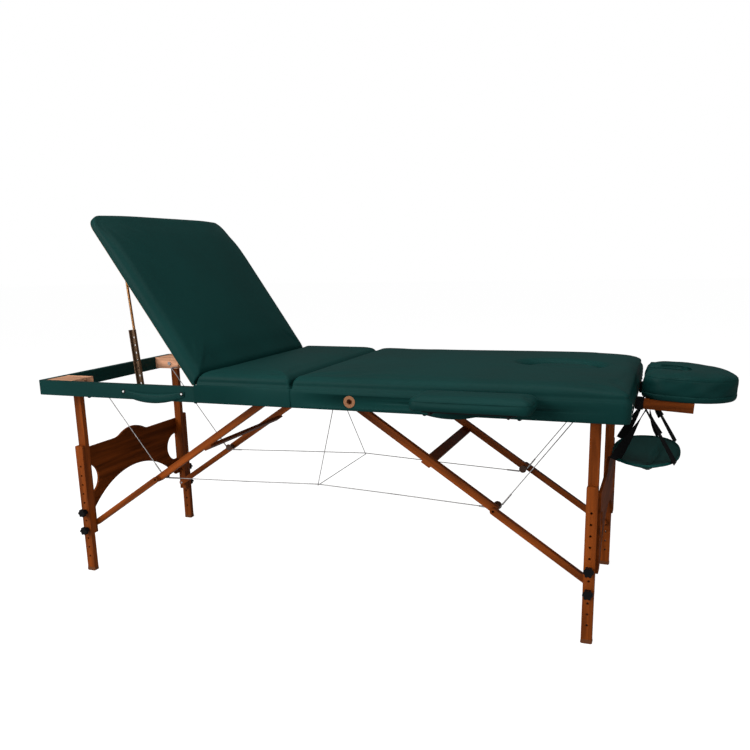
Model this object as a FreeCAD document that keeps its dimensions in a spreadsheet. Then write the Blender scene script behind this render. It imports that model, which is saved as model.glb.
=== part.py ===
import FreeCAD, Part
import math
import os
import types

import Sketcher
from FreeCAD import Placement, Rotation, Vector

# Folding massage table in three sections, standing open with its backrest raised.
# X runs along the table, -Y is the side with the carrying handles, +Z is up and the floor is at 0.
# Each half hangs its legs on braces that fold flat into the frame when the table closes.

SIZES = (
    ("table_length", 1850, "both halves together, open"),
    ("table_width", 730, "across the side rails"),
    ("rail_bottom", 630, "underside of the rails above the floor"),
    ("rail_height", 46, "depth of the rails"),
    ("rail_thick", 22, "thickness of the rails"),
    ("rail_corner", 20, "rounding of the frame's outer corners"),
    ("fold_gap", 1.5, "from the fold line to each half"),
    ("deck_thick", 5, "plywood decks"),
    ("foam_edge", 41, "height of the foam at its edge"),
    ("foam_crown", 8, "rise of the foam to its middle"),
    ("foam_roll", 24, "rounding along the foam's top edge"),
    ("foam_corner", 24, "rounding of the foam's outer corners"),
    ("back_corner", 44, "rounding of the backrest's upper corners"),
    ("foam_draw", 4, "how far the foam's sides draw in at the deck"),
    ("fold_drop", 4, "fold axis below the rails"),
    ("barrel_radius", 4, "hinge barrels"),
    ("pin_radius", 2, "hinge pins"),
    ("leaf_thick", 2, "hinge leaves"),
    ("leaf_wide", 20, "hinge leaves, out from the barrel"),
    ("leaf_long", 70, "hinge leaves, along the axis"),
    ("hinge_spread", 210, "hinges from the middle of the table"),
    ("running_gap", 0.3, "round pins and between turning pieces"),
    ("side_gap", 1, "between braces and legs that lie side by side"),
    ("back_hinge", 322, "backrest hinge from the fold line"),
    ("back_angle", 56, "backrest above flat, in degrees"),
    ("back_gap", 5, "from the backrest hinge to each deck"),
    ("back_slope", 30, "length of the sloped foam ends beside the backrest hinge"),
    ("leg_inset", 87, "middle of the legs in from the table's end"),
    ("leg_pivot_drop", 22, "leg pivot below the top of the rails"),
    ("post_wide", 28, "upper leg along the table"),
    ("post_thick", 18, "upper leg across the table"),
    ("post_inner", 267, "inner face of the upper leg from the middle"),
    ("post_bottom", 133, "lower end of the upper leg"),
    ("leg_wide", 30, "lower leg along the table"),
    ("leg_thick", 18, "lower leg across the table"),
    ("leg_top", 446, "upper end of the lower leg"),
    ("foot_height", 12, "rubber feet"),
    ("foot_lip", 1, "rubber feet beyond the legs"),
    ("hole_pitch", 32, "between the holes of the lower leg"),
    ("knob_low", 150, "lower knob above the floor"),
    ("stud_radius", 3, "threaded studs of the knobs"),
    ("stud_room", 0.6, "round the studs in the lower leg"),
    ("stud_short", 4, "from the end of a stud to the upper leg's inner face"),
    ("knob_radius", 14, "star knobs"),
    ("knob_valley", 11, "star knobs between the lobes"),
    ("knob_thick", 13, "star knobs"),
    ("knob_neck", 8, "neck between knob and leg"),
    ("knob_neck_radius", 9, "neck between knob and leg"),
    ("bolt_radius", 4, "pivot bolts"),
    ("bolt_head", 7, "heads of the pivot bolts"),
    ("head_thick", 4, "heads of the pivot bolts"),
    ("block_long", 103, "corner blocks along the table"),
    ("block_rise", 4, "underside of the corner blocks above the rails' underside"),
    ("block_cheek", 25, "inner cheek of the corner blocks"),
    ("block_web", 7, "corner block above the leg"),
    ("block_room", 34, "slot of the corner block beyond the leg pivot"),
    ("panel_thick", 8, "end panels"),
    ("panel_shoulder", 427, "top of the end panel beside the legs"),
    ("panel_crest", 452, "top of the end panel in the middle"),
    ("panel_tip", 199, "lower tips of the end panel"),
    ("crest_half", 66, "dome of the crest, from the middle"),
    ("crest_foot", 100, "foot of the crest, from the middle"),
    ("crest_lift", 9, "foot of the crest's dome above the shoulders"),
    ("arch_top", 306, "top of the arch"),
    ("arch_half", 246, "arch at the tips, from the middle"),
    ("eye_low", 262, "lower end of the half-round cut-outs"),
    ("eye_high", 366, "upper end of the half-round cut-outs"),
    ("eye_deep", 64, "half-round cut-outs, in from the legs"),
    ("brace_place", 90, "brace pivot from the fold line"),
    ("brace_drop", 16, "brace pivot below the top of the rails"),
    ("brace_foot", 163, "lower end of the brace above the floor"),
    ("brace_set", 6, "lower end of the brace in from the leg's middle"),
    ("brace_deep", 22, "upper brace"),
    ("brace_thick", 18, "upper brace"),
    ("stay_deep", 19, "lower brace"),
    ("stay_thick", 18, "lower brace"),
    ("bar_along", 341, "crossbar from the brace pivot"),
    ("bar_wide", 30, "crossbar"),
    ("bar_thick", 10, "crossbar"),
    ("bar_let_in", 3.5, "crossbar into the braces"),
    ("ear_thick", 2.5, "ears of the brace brackets"),
    ("ear_wide", 24, "ears of the brace brackets"),
    ("cable_radius", 1.5, "support cables"),
    ("cord_radius", 1.2, "cord under the fold"),
    ("cable_side", 205, "cables from the middle of the table"),
    ("cable_middle", 356, "cables at the fold, above the floor"),
    ("cable_eye_set", 33, "cable eyes in from the legs' middle"),
    ("cable_eye_rise", 11, "cable eyes above the rails' underside"),
    ("hub_flange", 2, "how far the cable hubs stand out past the cable"),
    ("eye_radius", 3, "cable eyes"),
    ("prop_foot", 545, "prop pivot on the frame, from the fold line"),
    ("prop_foot_rise", 20, "prop pivot on the frame, above the rails' underside"),
    ("prop_head", 425, "prop pivot on the backrest, from its hinge"),
    ("prop_head_drop", 16, "prop pivot below the backrest deck"),
    ("prop_inset", 31, "prop rods in from the inner face of the rails"),
    ("prop_radius", 4, "prop rods"),
    ("prop_eye", 7, "eyes of the prop rods"),
    ("prop_flat", 1, "eyes of the prop rods, thinner than the rods on each side"),
    ("prop_long", 186, "prop rods"),
    ("channel_long", 192, "prop channels above their pivot"),
    ("channel_tail", 12, "prop channels below their pivot"),
    ("channel_wide", 20, "prop channels"),
    ("channel_wall", 2, "prop channels"),
    ("channel_lip", 9, "flanges of the prop channels"),
    ("channel_pitch", 24, "between the holes of the prop channels"),
    ("channel_hole", 3.2, "holes of the prop channels"),
    ("handle_near", 357, "handle's inner end from the fold line"),
    ("handle_long", 230, "handles"),
    ("handle_rise", 23, "handle ends above the rails' underside"),
    ("handle_sag", 16, "handles"),
    ("handle_half", 8, "half height of the handle's ends"),
    ("handle_swell", 7, "extra half height in the handle's middle"),
    ("handle_thick", 15, "handles out from the rail"),
    ("grommet_place", 183, "accessory holes from the fold line"),
    ("grommet_rise", 25, "accessory holes above the rails' underside"),
    ("grommet_bore", 8, "accessory holes"),
    ("grommet_tube", 11, "accessory sleeves"),
    ("grommet_rim", 17, "rims of the accessory sleeves"),
    ("rim_thick", 3, "rims of the accessory sleeves"),
    ("face_inset", 214, "face opening in from the table's end"),
    ("face_half_long", 120, "face opening along the table"),
    ("face_half_wide", 76, "face opening across the table"),
    ("face_ledge", 14, "deck under the rim of the face plug"),
    ("plug_gap", 1.5, "round the face plug"),
    ("plug_sink", 3, "face plug below the foam's top"),
    ("plug_round", 12, "top edge of the face plug"),
    ("headrest_out", 265, "headrest beyond the table's end"),
    ("headrest_half", 150, "headrest from its middle"),
    ("headrest_gap", 20, "between the table's end and the headrest foam"),
    ("headrest_slot", 50, "half of the face gap in the headrest"),
    ("headrest_bow", 130, "thickness of the headrest's bow, tip to face gap"),
    ("headrest_foam", 64, "headrest foam"),
    ("headrest_tilt", 3.5, "slope of the headrest away from the table, in degrees"),
    ("headrest_top_round", 24, "top edge of the headrest foam"),
    ("headrest_base_round", 10, "lower edge of the headrest foam"),
    ("headrest_board", 8, "headrest board"),
    ("board_inset", 6, "headrest board inside the foam's outline"),
    ("arm_side", 134, "headrest arms from the middle"),
    ("arm_wide", 20, "headrest arms"),
    ("arm_deep", 27, "headrest arms"),
    ("arm_rise", 15, "headrest arms above the rails' underside"),
    ("arm_long", 150, "headrest arms beyond the table's end"),
    ("dowel_radius", 9.5, "dowels of the headrest"),
    ("dowel_long", 75, "dowels of the headrest inside the table"),
    ("sling_place", 30, "sling rings beyond the table's end"),
    ("sling_start", 59, "sling's near side in from the table's end"),
    ("sling_end", 127, "sling's outer side beyond the table's end"),
    ("sling_half", 190, "sling from its middle"),
    ("sling_hang", 148, "rim of the sling below the rails' underside"),
    ("sling_sag", 26, "middle of the sling below its rim"),
    ("sling_thick", 12, "padding of the sling"),
    ("strap_wide", 30, "webbing"),
    ("strap_thick", 2, "webbing"),
    ("strap_inset", 16, "straps in from the sling's ends"),
    ("strap_ring", 3, "rings that the straps hang on"),
    ("strap_sink", 1, "lower ends of the straps below the sling's rim"),
    ("armrest_place", 550, "middle of the armrests from the fold line"),
    ("armrest_long", 314, "armrests along the table"),
    ("armrest_gap", 8, "between the side rail and the armrest foam"),
    ("armrest_wide", 127, "armrests out from the table"),
    ("armrest_rise", 34, "underside of the armrests above the rails' underside"),
    ("armrest_high", 36, "armrest foam at its edge"),
    ("armrest_crown", 5, "rise of the armrest foam"),
    ("armrest_roll", 12, "rounding of the armrest foam"),
    ("armrest_corner", 30, "rounded ends of the armrests"),
    ("plate_thick", 3, "armrest plates"),
    ("plate_gap", 23, "between the side rail and the armrest plates"),
    ("plate_long", 240, "armrest plates along the table"),
    ("plate_wide", 100, "armrest plates out from the table"),
    ("peg_radius", 4, "armrest pegs"),
    ("peg_spread", 100, "armrest pegs from the armrest's middle"),
)

KNOB_LOBES = 6
HOLES_ABOVE = 7
HOLES_BELOW = 3
CHANNEL_HOLES = 7
OVAL_ARCS = 8
TOUCH = 1e-6

doc = FreeCAD.newDocument("massage_table")
sheet = doc.addObject("Spreadsheet::Sheet", "Sizes")
for row, (alias, amount, meaning) in enumerate(SIZES, start=1):
    sheet.set(f"A{row}", meaning)
    sheet.set(f"B{row}", str(amount))
    sheet.setAlias(f"B{row}", alias)
doc.recompute()


class Size:
    """A length with its number and the formula that ties it to the sheet."""

    def __init__(self, number, formula, bound=True):
        self.number = number
        self.formula = formula
        self.bound = bound

    def __add__(self, other):
        other = size(other)
        return Size(self.number + other.number, f"({self.formula} + {other.formula})")

    def __sub__(self, other):
        other = size(other)
        return Size(self.number - other.number, f"({self.formula} - {other.formula})")

    def __mul__(self, other):
        other = size(other)
        return Size(self.number * other.number, f"({self.formula} * {other.formula})")

    def __truediv__(self, other):
        other = size(other)
        return Size(self.number / other.number, f"({self.formula} / {other.formula})")

    def __neg__(self):
        return Size(-self.number, f"(0 - {self.formula})", self.bound)

    def __radd__(self, other):
        return size(other) + self

    def __rsub__(self, other):
        return size(other) - self

    def __rmul__(self, other):
        return size(other) * self


def size(value):
    """A plain number becomes a Size with no tie."""
    if isinstance(value, Size):
        return value
    return Size(value, f"{value:.9g}", bound=False)


def root(value):
    return Size(math.sqrt(value.number), f"sqrt({value.formula})")


def cosine(angle):
    return Size(math.cos(math.radians(angle.number)), f"cos({angle.formula})")


def sine(angle):
    return Size(math.sin(math.radians(angle.number)), f"sin({angle.formula})")


def slope(rise, run):
    """Angle in degrees of a line with this rise and run."""
    degrees = math.degrees(math.atan2(rise.number, run.number))
    return Size(degrees, f"atan2({rise.formula}; {run.formula})")


S = types.SimpleNamespace(**{
    alias: Size(float(sheet.get(alias)), f"Sizes.{alias}") for alias, amount, meaning in SIZES
})


def bind(obj, name, value):
    value = size(value)
    obj.setExpression(name, value.formula)


# Planes and lines that the pieces share

half_length = S.table_length / 2
half_width = S.table_width / 2
fold_x = -S.headrest_out / 2
leg_place = half_length - S.leg_inset
face_place = half_length - S.face_inset
rail_top = S.rail_bottom + S.rail_height
rail_inner = half_width - S.rail_thick
deck_top = rail_top + S.deck_thick
foam_top = deck_top + S.foam_edge
fold_z = S.rail_bottom - S.fold_drop
back_z = rail_top + S.running_gap + S.deck_thick / 2
leg_z = rail_top - S.leg_pivot_drop
post_outer = S.post_inner + S.post_thick
leg_inner = post_outer
leg_outer = leg_inner + S.leg_thick
stay_outer = S.post_inner - S.side_gap
stay_inner = stay_outer - S.stay_thick
brace_outer = stay_inner - S.side_gap
brace_inner = brace_outer - S.brace_thick
brace_z = rail_top - S.brace_drop
knob_heights = (S.knob_low, S.knob_low + 2 * S.hole_pitch)
block_low = S.rail_bottom + S.block_rise
cable_eye_x = leg_place - S.cable_eye_set
cable_eye_z = S.rail_bottom + S.cable_eye_rise
prop_foot_z = S.rail_bottom + S.prop_foot_rise
handle_z = S.rail_bottom + S.handle_rise
grommet_z = S.rail_bottom + S.grommet_rise
arm_z = S.rail_bottom + S.arm_rise
armrest_z = S.rail_bottom + S.armrest_rise
sling_z = S.rail_bottom - S.sling_hang
sling_x = half_length + S.sling_place


def along(distance):
    """Place on the X axis of a distance from the fold line."""
    return fold_x + distance


# The brace is straight when open and folds back on itself when the leg lies flat,
# so the sum and the difference of its two parts follow from the pivots.

brace_run = leg_place - S.brace_set - S.brace_place
brace_rise = brace_z - S.brace_foot
brace_angle = slope(brace_rise, brace_run)
brace_whole = root(brace_run * brace_run + brace_rise * brace_rise)
leg_reach = leg_z - S.brace_foot
folded_run = leg_place - leg_reach - S.brace_place
brace_long = (brace_whole + folded_run) / 2
stay_long = (brace_whole - folded_run) / 2
joint_x = along(S.brace_place + brace_long * brace_run / brace_whole)
joint_z = brace_z - brace_long * brace_rise / brace_whole


# Building helpers

nodes = []


def node(obj, label):
    """Keep an object as a piece of the table under this name."""
    obj.Label = label
    nodes.append(obj)
    return obj


def box(name, low, high):
    obj = doc.addObject("Part::Box", name)
    for letter, side, start, end in zip("xyz", ("Length", "Width", "Height"), low, high):
        bind(obj, side, size(end) - size(start))
        bind(obj, f"Placement.Base.{letter}", start)
    return obj


TURNS = {
    "x": Rotation(Vector(0, 1, 0), 90),
    "y": Rotation(Vector(1, 0, 0), -90),
    "z": Rotation(),
}


def cylinder(name, axis, start, length, radius):
    """A round bar from a start point along +X, +Y or +Z."""
    obj = doc.addObject("Part::Cylinder", name)
    obj.Placement = Placement(Vector(), TURNS[axis])
    bind(obj, "Radius", radius)
    bind(obj, "Height", length)
    for letter, place in zip("xyz", start):
        bind(obj, f"Placement.Base.{letter}", place)
    return obj


def fuse(name, *pieces):
    obj = doc.addObject("Part::MultiFuse", name)
    obj.Shapes = list(pieces)
    return obj


def cut(name, base, *tools):
    obj = doc.addObject("Part::Cut", name)
    obj.Base = base
    obj.Tool = tools[0] if len(tools) == 1 else fuse(name + "_tools", *tools)
    return obj


def group(name, *pieces):
    obj = doc.addObject("Part::Compound", name)
    obj.Links = list(pieces)
    return obj


def across(source, name):
    """The same piece on the other long side of the table."""
    obj = doc.addObject("Part::Mirroring", name)
    obj.Source = source
    obj.Normal = Vector(0, 1, 0)
    return obj


def opposite(source, name):
    """The same piece on the other half of the table."""
    obj = doc.addObject("Part::Mirroring", name)
    obj.Source = source
    obj.Normal = Vector(1, 0, 0)
    bind(obj, "Base.x", fold_x)
    return obj


def pair(name, piece):
    """A piece and its twin on the other long side."""
    return group(name, piece, across(piece, name + "_far"))


def flat(point):
    return Vector(size(point[0]).number, size(point[1]).number, 0)


def fix_point(sketch, index, end, point):
    """Hold one point of a sketch at its two sizes."""
    for kind, axis, place in (("DistanceX", -2, point[0]), ("DistanceY", -1, point[1])):
        place = size(place)
        if place.number == 0 and not place.bound:
            sketch.addConstraint(Sketcher.Constraint("PointOnObject", index, end, axis))
            continue
        held = sketch.addConstraint(Sketcher.Constraint(kind, -1, 1, index, end, place.number))
        title = f"{kind}_{held}"
        sketch.renameConstraint(held, title)
        bind(sketch, f"Constraints.{title}", place)


def to(point):
    """A straight step of an outline."""
    return None, point


def over(middle, point):
    """A step of an outline along an arc through its middle."""
    return middle, point


def add_loop(sketch, start, *steps):
    """A closed outline of lines and arcs; its last step comes back to the start."""
    corners = [start]
    edges = []
    for middle, end in steps:
        first, last = flat(corners[-1]), flat(end)
        if middle is None:
            edges.append((sketch.addGeometry(Part.LineSegment(first, last), False), 1))
        else:
            index = sketch.addGeometry(Part.Arc(first, flat(middle), last), False)
            begins = 1 if (sketch.getPoint(index, 1) - first).Length < TOUCH else 2
            edges.append((index, begins))
            mark = sketch.addGeometry(Part.Point(flat(middle)), True)
            sketch.addConstraint(Sketcher.Constraint("PointOnObject", mark, 1, index))
            fix_point(sketch, mark, 1, middle)
        corners.append(end)
    for place, (index, begins) in enumerate(edges):
        following, its_begin = edges[(place + 1) % len(edges)]
        ends = 3 - begins
        sketch.addConstraint(Sketcher.Constraint("Coincident", index, ends, following, its_begin))
        fix_point(sketch, index, begins, corners[place])


def add_circle(sketch, centre, radius):
    circle = Part.Circle(flat(centre), Vector(0, 0, 1), size(radius).number)
    index = sketch.addGeometry(circle, False)
    fix_point(sketch, index, 3, centre)
    held = sketch.addConstraint(Sketcher.Constraint("Radius", index, size(radius).number))
    sketch.renameConstraint(held, f"radius_{held}")
    bind(sketch, f"Constraints.radius_{held}", radius)


# The XZ plane faces -Y, so its offset counts towards the handle side.
FACING = {"XY_Plane": 1, "XZ_Plane": -1, "YZ_Plane": 1}


def sketch_on(body, name, plane, place, loops, circles=()):
    sketch = body.newObject("Sketcher::SketchObject", name)
    support = next(part for part in body.Origin.OriginFeatures if part.Role == plane)
    sketch.AttachmentSupport = [(support, "")]
    sketch.MapMode = "FlatFace"
    bind(sketch, "AttachmentOffset.Base.z", FACING[plane] * size(place))
    for loop in loops:
        add_loop(sketch, *loop)
    for centre, radius in circles:
        add_circle(sketch, centre, radius)
    return sketch


def plate(name, plane, place, thick, loops, circles=()):
    """A flat piece: an outline with holes, raised from a plane (towards -Y on XZ)."""
    body = doc.addObject("PartDesign::Body", name)
    sketch = sketch_on(body, name + "_outline", plane, place, loops, circles)
    pad = body.newObject("PartDesign::Pad", name + "_pad")
    pad.Profile = sketch
    bind(pad, "Length", thick)
    return body


def add_pad(body, name, plane, place, thick, loops, circles=()):
    """A further step of a plate, raised from another plane."""
    sketch = sketch_on(body, name + "_outline", plane, place, loops, circles)
    pad = body.newObject("PartDesign::Pad", name)
    pad.Profile = sketch
    bind(pad, "Length", thick)
    return pad


def loft(name, plane, sections):
    """A soft form through outlines on parallel planes."""
    body = doc.addObject("PartDesign::Body", name)
    sketches = [
        sketch_on(body, f"{name}_section_{number}", plane, place, [loop])
        for number, (place, loop) in enumerate(sections)
    ]
    skin = body.newObject("PartDesign::AdditiveLoft", name + "_loft")
    skin.Profile = sketches[0]
    skin.Sections = sketches[1:]
    skin.Ruled = True
    return body


def round_edges(body, name, level, radius):
    """Round every edge of the body that lies flat at one height."""
    doc.recompute()
    base = body.Tip
    names = []
    for number, edge in enumerate(base.Shape.Edges, start=1):
        bounds = edge.BoundBox
        if abs(bounds.ZMin - level.number) < TOUCH and abs(bounds.ZMax - level.number) < TOUCH:
            names.append(f"Edge{number}")
    rounding = body.newObject("PartDesign::Fillet", name)
    rounding.Base = (base, names)
    bind(rounding, "Radius", radius)
    return rounding


def rectangle(low, high):
    left, bottom = low
    right, top = high
    return (low, to((right, bottom)), to(high), to((left, top)), to(low))


def bar_outline(length, deep):
    """A bar along X with round ends, about the middles of its two pivots."""
    half = deep / 2
    return (
        (size(0), -half),
        to((length, -half)),
        over((length + half, 0), (length, half)),
        to((size(0), half)),
        over((-half, 0), (size(0), -half)),
    )


def oval(middle, half_long, half_wide):
    """An oval of short arcs."""
    def spot(step):
        turn = math.pi * step / OVAL_ARCS
        return middle + half_long * math.cos(turn), half_wide * math.sin(turn)
    corners = [spot(2 * step) for step in range(OVAL_ARCS)]
    corners.append(corners[0])
    return (corners[0],) + tuple(
        over(spot(2 * step + 1), corners[step + 1]) for step in range(OVAL_ARCS)
    )


# Frame of the two halves

DIAGONAL = math.sqrt(0.5)


def side_rail(name):
    """Near rail of the right half, rounded at the table's outer corner."""
    start = along(S.fold_gap)
    end = along(half_length)
    turn = S.rail_corner
    loop = (
        (start, -half_width),
        to((end - turn, -half_width)),
        over((end - turn + turn * DIAGONAL, -half_width + turn - turn * DIAGONAL),
             (end, -half_width + turn)),
        to((end, -rail_inner)),
        to((start, -rail_inner)),
        to((start, -half_width)),
    )
    return plate(name, "XY_Plane", S.rail_bottom, S.rail_height, [loop])


def rail_hole(name, place, height, radius):
    """A hole through a side rail, from outside to inside."""
    return cylinder(name, "y", (along(place), -half_width, height), S.rail_thick, radius)


peg_height = armrest_z - S.plate_thick - S.peg_radius


def side_rails():
    plain = side_rail("plain_rail")
    node(opposite(pair("plain_rails", plain), "left_rails"), "left_side_rails")
    holes = [rail_hole("sleeve_hole", S.grommet_place, grommet_z, S.grommet_tube)]
    for number, spread in enumerate((-S.peg_spread, S.peg_spread)):
        holes.append(rail_hole(f"peg_hole_{number}", S.armrest_place + spread, peg_height,
                               S.peg_radius + S.running_gap))
    drilled = cut("drilled_rail", side_rail("drilled_rail_blank"), *holes)
    node(pair("right_rails", drilled), "right_side_rails")


def cross_rail(name, start):
    low = (along(start), -rail_inner, S.rail_bottom)
    high = (along(start + S.rail_thick), rail_inner, rail_top)
    return box(name, low, high)


def cross_rails():
    """End rail and fold rail of each half; the right end takes the headrest's dowels."""
    fold_rail = cross_rail("fold_rail", S.fold_gap)
    end_rail = cross_rail("end_rail", half_length - S.rail_thick)
    node(opposite(group("plain_cross_rails", fold_rail, end_rail), "left_cross"), "left_cross_rails")
    sockets = [
        cylinder(f"dowel_socket_{number}", "x",
                 (along(half_length - S.rail_thick), side, arm_z),
                 S.rail_thick, S.dowel_radius + S.running_gap)
        for number, side in enumerate((-S.arm_side, S.arm_side))
    ]
    drilled = cut("drilled_end_rail", cross_rail("end_rail_blank", half_length - S.rail_thick), *sockets)
    node(group("right_cross", cross_rail("right_fold_rail", S.fold_gap), drilled), "right_cross_rails")


block_inner = S.post_inner - S.side_gap / 2 - S.block_cheek


def corner_blocks():
    """Blocks in the outer corners, slotted for the top of the leg."""
    end = half_length - S.rail_thick
    slot_side = S.side_gap / 2
    body = box("block_blank", (along(end - S.block_long), -rail_inner, block_low),
               (along(end), -block_inner, rail_top))
    slot = box("block_slot", (along(end - S.block_long), -(post_outer + slot_side), block_low),
               (along(leg_place + S.block_room), -(S.post_inner - slot_side), rail_top - S.block_web))
    hole = cylinder("block_hole", "y", (along(leg_place), -rail_inner, leg_z),
                    rail_inner - block_inner, S.bolt_radius)
    blocks = pair("right_blocks", cut("block", body, slot, hole))
    node(blocks, "right_corner_blocks")
    node(opposite(blocks, "left_blocks"), "left_corner_blocks")


# Decks

def deck_outline(start, end, corner):
    """Half-table deck with its two outer corners rounded."""
    bend = corner - corner * DIAGONAL
    return (
        (start, -half_width),
        to((end - corner, -half_width)),
        over((end - bend, -half_width + bend), (end, -half_width + corner)),
        to((end, half_width - corner)),
        over((end - bend, half_width - bend), (end - corner, half_width)),
        to((start, half_width)),
        to((start, -half_width)),
    )


def decks():
    face = oval(along(face_place), S.face_half_long - S.face_ledge, S.face_half_wide - S.face_ledge)
    outline = deck_outline(along(S.fold_gap), along(half_length), S.rail_corner)
    node(plate("right_deck", "XY_Plane", rail_top, S.deck_thick, [outline, face]), "right_deck")
    node(box("seat_board", (along(-(S.back_hinge - S.back_gap)), -half_width, rail_top),
             (along(-S.fold_gap), half_width, deck_top)), "seat_deck")


# Foam under its cover

def foam_section(half, low, top, crown, full, draw, roll):
    """Across a cushion: flat below, sides that swell and draw in, a crowned top."""
    share = (top - low) / full
    foot = half - draw * share
    shoulder = half - roll * share
    swell = low + (top - low) * 0.45
    return (
        (-foot, low),
        to((foot, low)),
        over((half, swell), (shoulder, top)),
        over((size(0), top + crown), (-shoulder, top)),
        over((-half, swell), (-foot, low)),
    )


# Shares of a rounded end: distance from the end, and what is still missing from the full size.
END_STEPS = tuple((1 - math.cos(turn), 1 - math.sin(turn))
                  for turn in (0, math.pi / 8, math.pi / 4, math.pi * 3 / 8, math.pi / 2))


def rounded_end(end, inward, half, top, crown, corner, roll):
    """Sections of a cushion end that rounds off in plan and along its top edge."""
    sections = []
    for reach, missing in END_STEPS:
        place = end + inward * corner * reach
        sections.append((place, half - corner * missing, top - roll * missing, crown * (1 - missing / 2)))
    return sections


def sloped_end(end, inward, half, axis_height, top, crown):
    """Sections of a cushion end that leans away from the backrest hinge."""
    clear = axis_height + S.back_gap + S.running_gap
    return [
        (end, half - S.foam_draw, clear, crown / 80),
        (end + inward * S.back_slope / 2, half - S.foam_draw / 2, clear + (top - clear) * 0.55, crown / 3),
        (end + inward * S.back_slope, half, top, crown),
    ]


def cushion(name, sections, low, full, draw, roll):
    """A cushion lofted through sections given as place, half width, edge height and crown."""
    return loft(name, "YZ_Plane", [
        (place, foam_section(half, low, top, crown, full, draw, roll))
        for place, half, top, crown in sections
    ])


def table_foam(name, sections, low):
    return cushion(name, sections, low, S.foam_edge, S.foam_draw, S.foam_roll)


fold_corner = S.foam_roll / 2


def cushions():
    fold_side = rounded_end(along(S.fold_gap), 1, half_width, foam_top, S.foam_crown, fold_corner, S.foam_roll)
    outer_side = rounded_end(along(half_length), -1, half_width, foam_top, S.foam_crown,
                             S.foam_corner, S.foam_roll)
    blank = table_foam("main_foam", fold_side + outer_side[::-1], deck_top)
    face = plate("face_cutter", "XY_Plane", deck_top, S.foam_edge + 2 * S.foam_crown,
                 [oval(along(face_place), S.face_half_long, S.face_half_wide)])
    node(cut("main_foam_open", blank, face), "main_cushion")
    hinge_side = sloped_end(along(S.back_gap - S.back_hinge), 1, half_width, back_z, foam_top, S.foam_crown)
    seat_side = rounded_end(along(-S.fold_gap), -1, half_width, foam_top, S.foam_crown,
                            fold_corner, S.foam_roll)
    node(table_foam("seat_foam", hinge_side + seat_side[::-1], deck_top), "seat_cushion")


def face_plug():
    """Oval plug that fills the face opening and stands on the deck round the hole."""
    high = S.foam_edge + S.foam_crown - S.plug_sink
    long = S.face_half_long - S.plug_gap
    wide = S.face_half_wide - S.plug_gap
    sections = [(deck_top, oval(along(face_place), long, wide))]
    for reach, missing in END_STEPS[::-1]:
        level = deck_top + high - S.plug_round * reach
        sections.append((level, oval(along(face_place), long - S.plug_round * missing,
                                     wide - S.plug_round * missing)))
    node(loft("plug", "XY_Plane", sections), "face_plug")


# Backrest, built lying along -X from its hinge and then raised

def raise_backrest(obj):
    obj.Placement = Placement(Vector(), Rotation(Vector(0, 1, 0), 1))
    bind(obj, "Placement.Base.x", along(-S.back_hinge))
    bind(obj, "Placement.Base.z", back_z)
    bind(obj, "Placement.Rotation.Angle", S.back_angle)
    return obj


back_long = half_length - S.back_hinge
board_half = S.deck_thick / 2


def backrest():
    corner = S.back_corner
    bend = corner - corner * DIAGONAL
    outline = (
        (-S.back_gap, -half_width),
        to((-S.back_gap, half_width)),
        to((corner - back_long, half_width)),
        over((bend - back_long, half_width - bend), (-back_long, half_width - corner)),
        to((-back_long, corner - half_width)),
        over((bend - back_long, bend - half_width), (corner - back_long, -half_width)),
        to((-S.back_gap, -half_width)),
    )
    node(raise_backrest(plate("back_board", "XY_Plane", -board_half, S.deck_thick, [outline])), "backrest_deck")
    top = board_half + S.foam_edge
    hinge_end = sloped_end(-S.back_gap, -1, half_width, size(0), top, S.foam_crown)
    head_end = rounded_end(-back_long, 1, half_width, top, S.foam_crown, S.back_corner, S.foam_roll)
    foam = table_foam("back_foam", hinge_end + head_end[::-1], board_half)
    node(raise_backrest(foam), "backrest_cushion")


# Hinges: the fixed leaf has the outer knuckles and the pin, the moving leaf the middle knuckle

def leaf(name, middle, axis_x, axis_z, outward, plate_low, moving):
    """One leaf; outward is +1 or -1 along X, and the plate lies flat below or above the axis."""
    long = S.leaf_long
    third = long / 3
    first = S.barrel_radius + S.running_gap
    ends = sorted((axis_x + outward * first, axis_x + outward * (first + S.leaf_wide)),
                  key=lambda place: place.number)
    pieces = [box(name + "_plate", (ends[0], middle - long / 2, plate_low),
                  (ends[1], middle + long / 2, plate_low + S.leaf_thick))]
    if moving:
        spans = [(middle - third / 2 + S.running_gap, third - 2 * S.running_gap)]
    else:
        spans = [(middle - long / 2, third), (middle + long / 2 - third, third)]
    for number, (start, span) in enumerate(spans):
        pieces.append(cylinder(f"{name}_knuckle_{number}", "y", (axis_x, start, axis_z), span, S.barrel_radius))
        reach = sorted((axis_x, axis_x + outward * first), key=lambda place: place.number)
        pieces.append(box(f"{name}_neck_{number}", (reach[0], start, plate_low),
                          (reach[1], start + span, plate_low + S.leaf_thick)))
    if moving:
        bore = cylinder(name + "_bore", "y", (axis_x, middle - long / 2, axis_z), long,
                        S.pin_radius + S.running_gap)
        return cut(name, fuse(name + "_solid", *pieces), bore)
    pieces.append(cylinder(name + "_pin", "y", (axis_x, middle - long / 2, axis_z), long, S.pin_radius))
    return fuse(name, *pieces)


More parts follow.
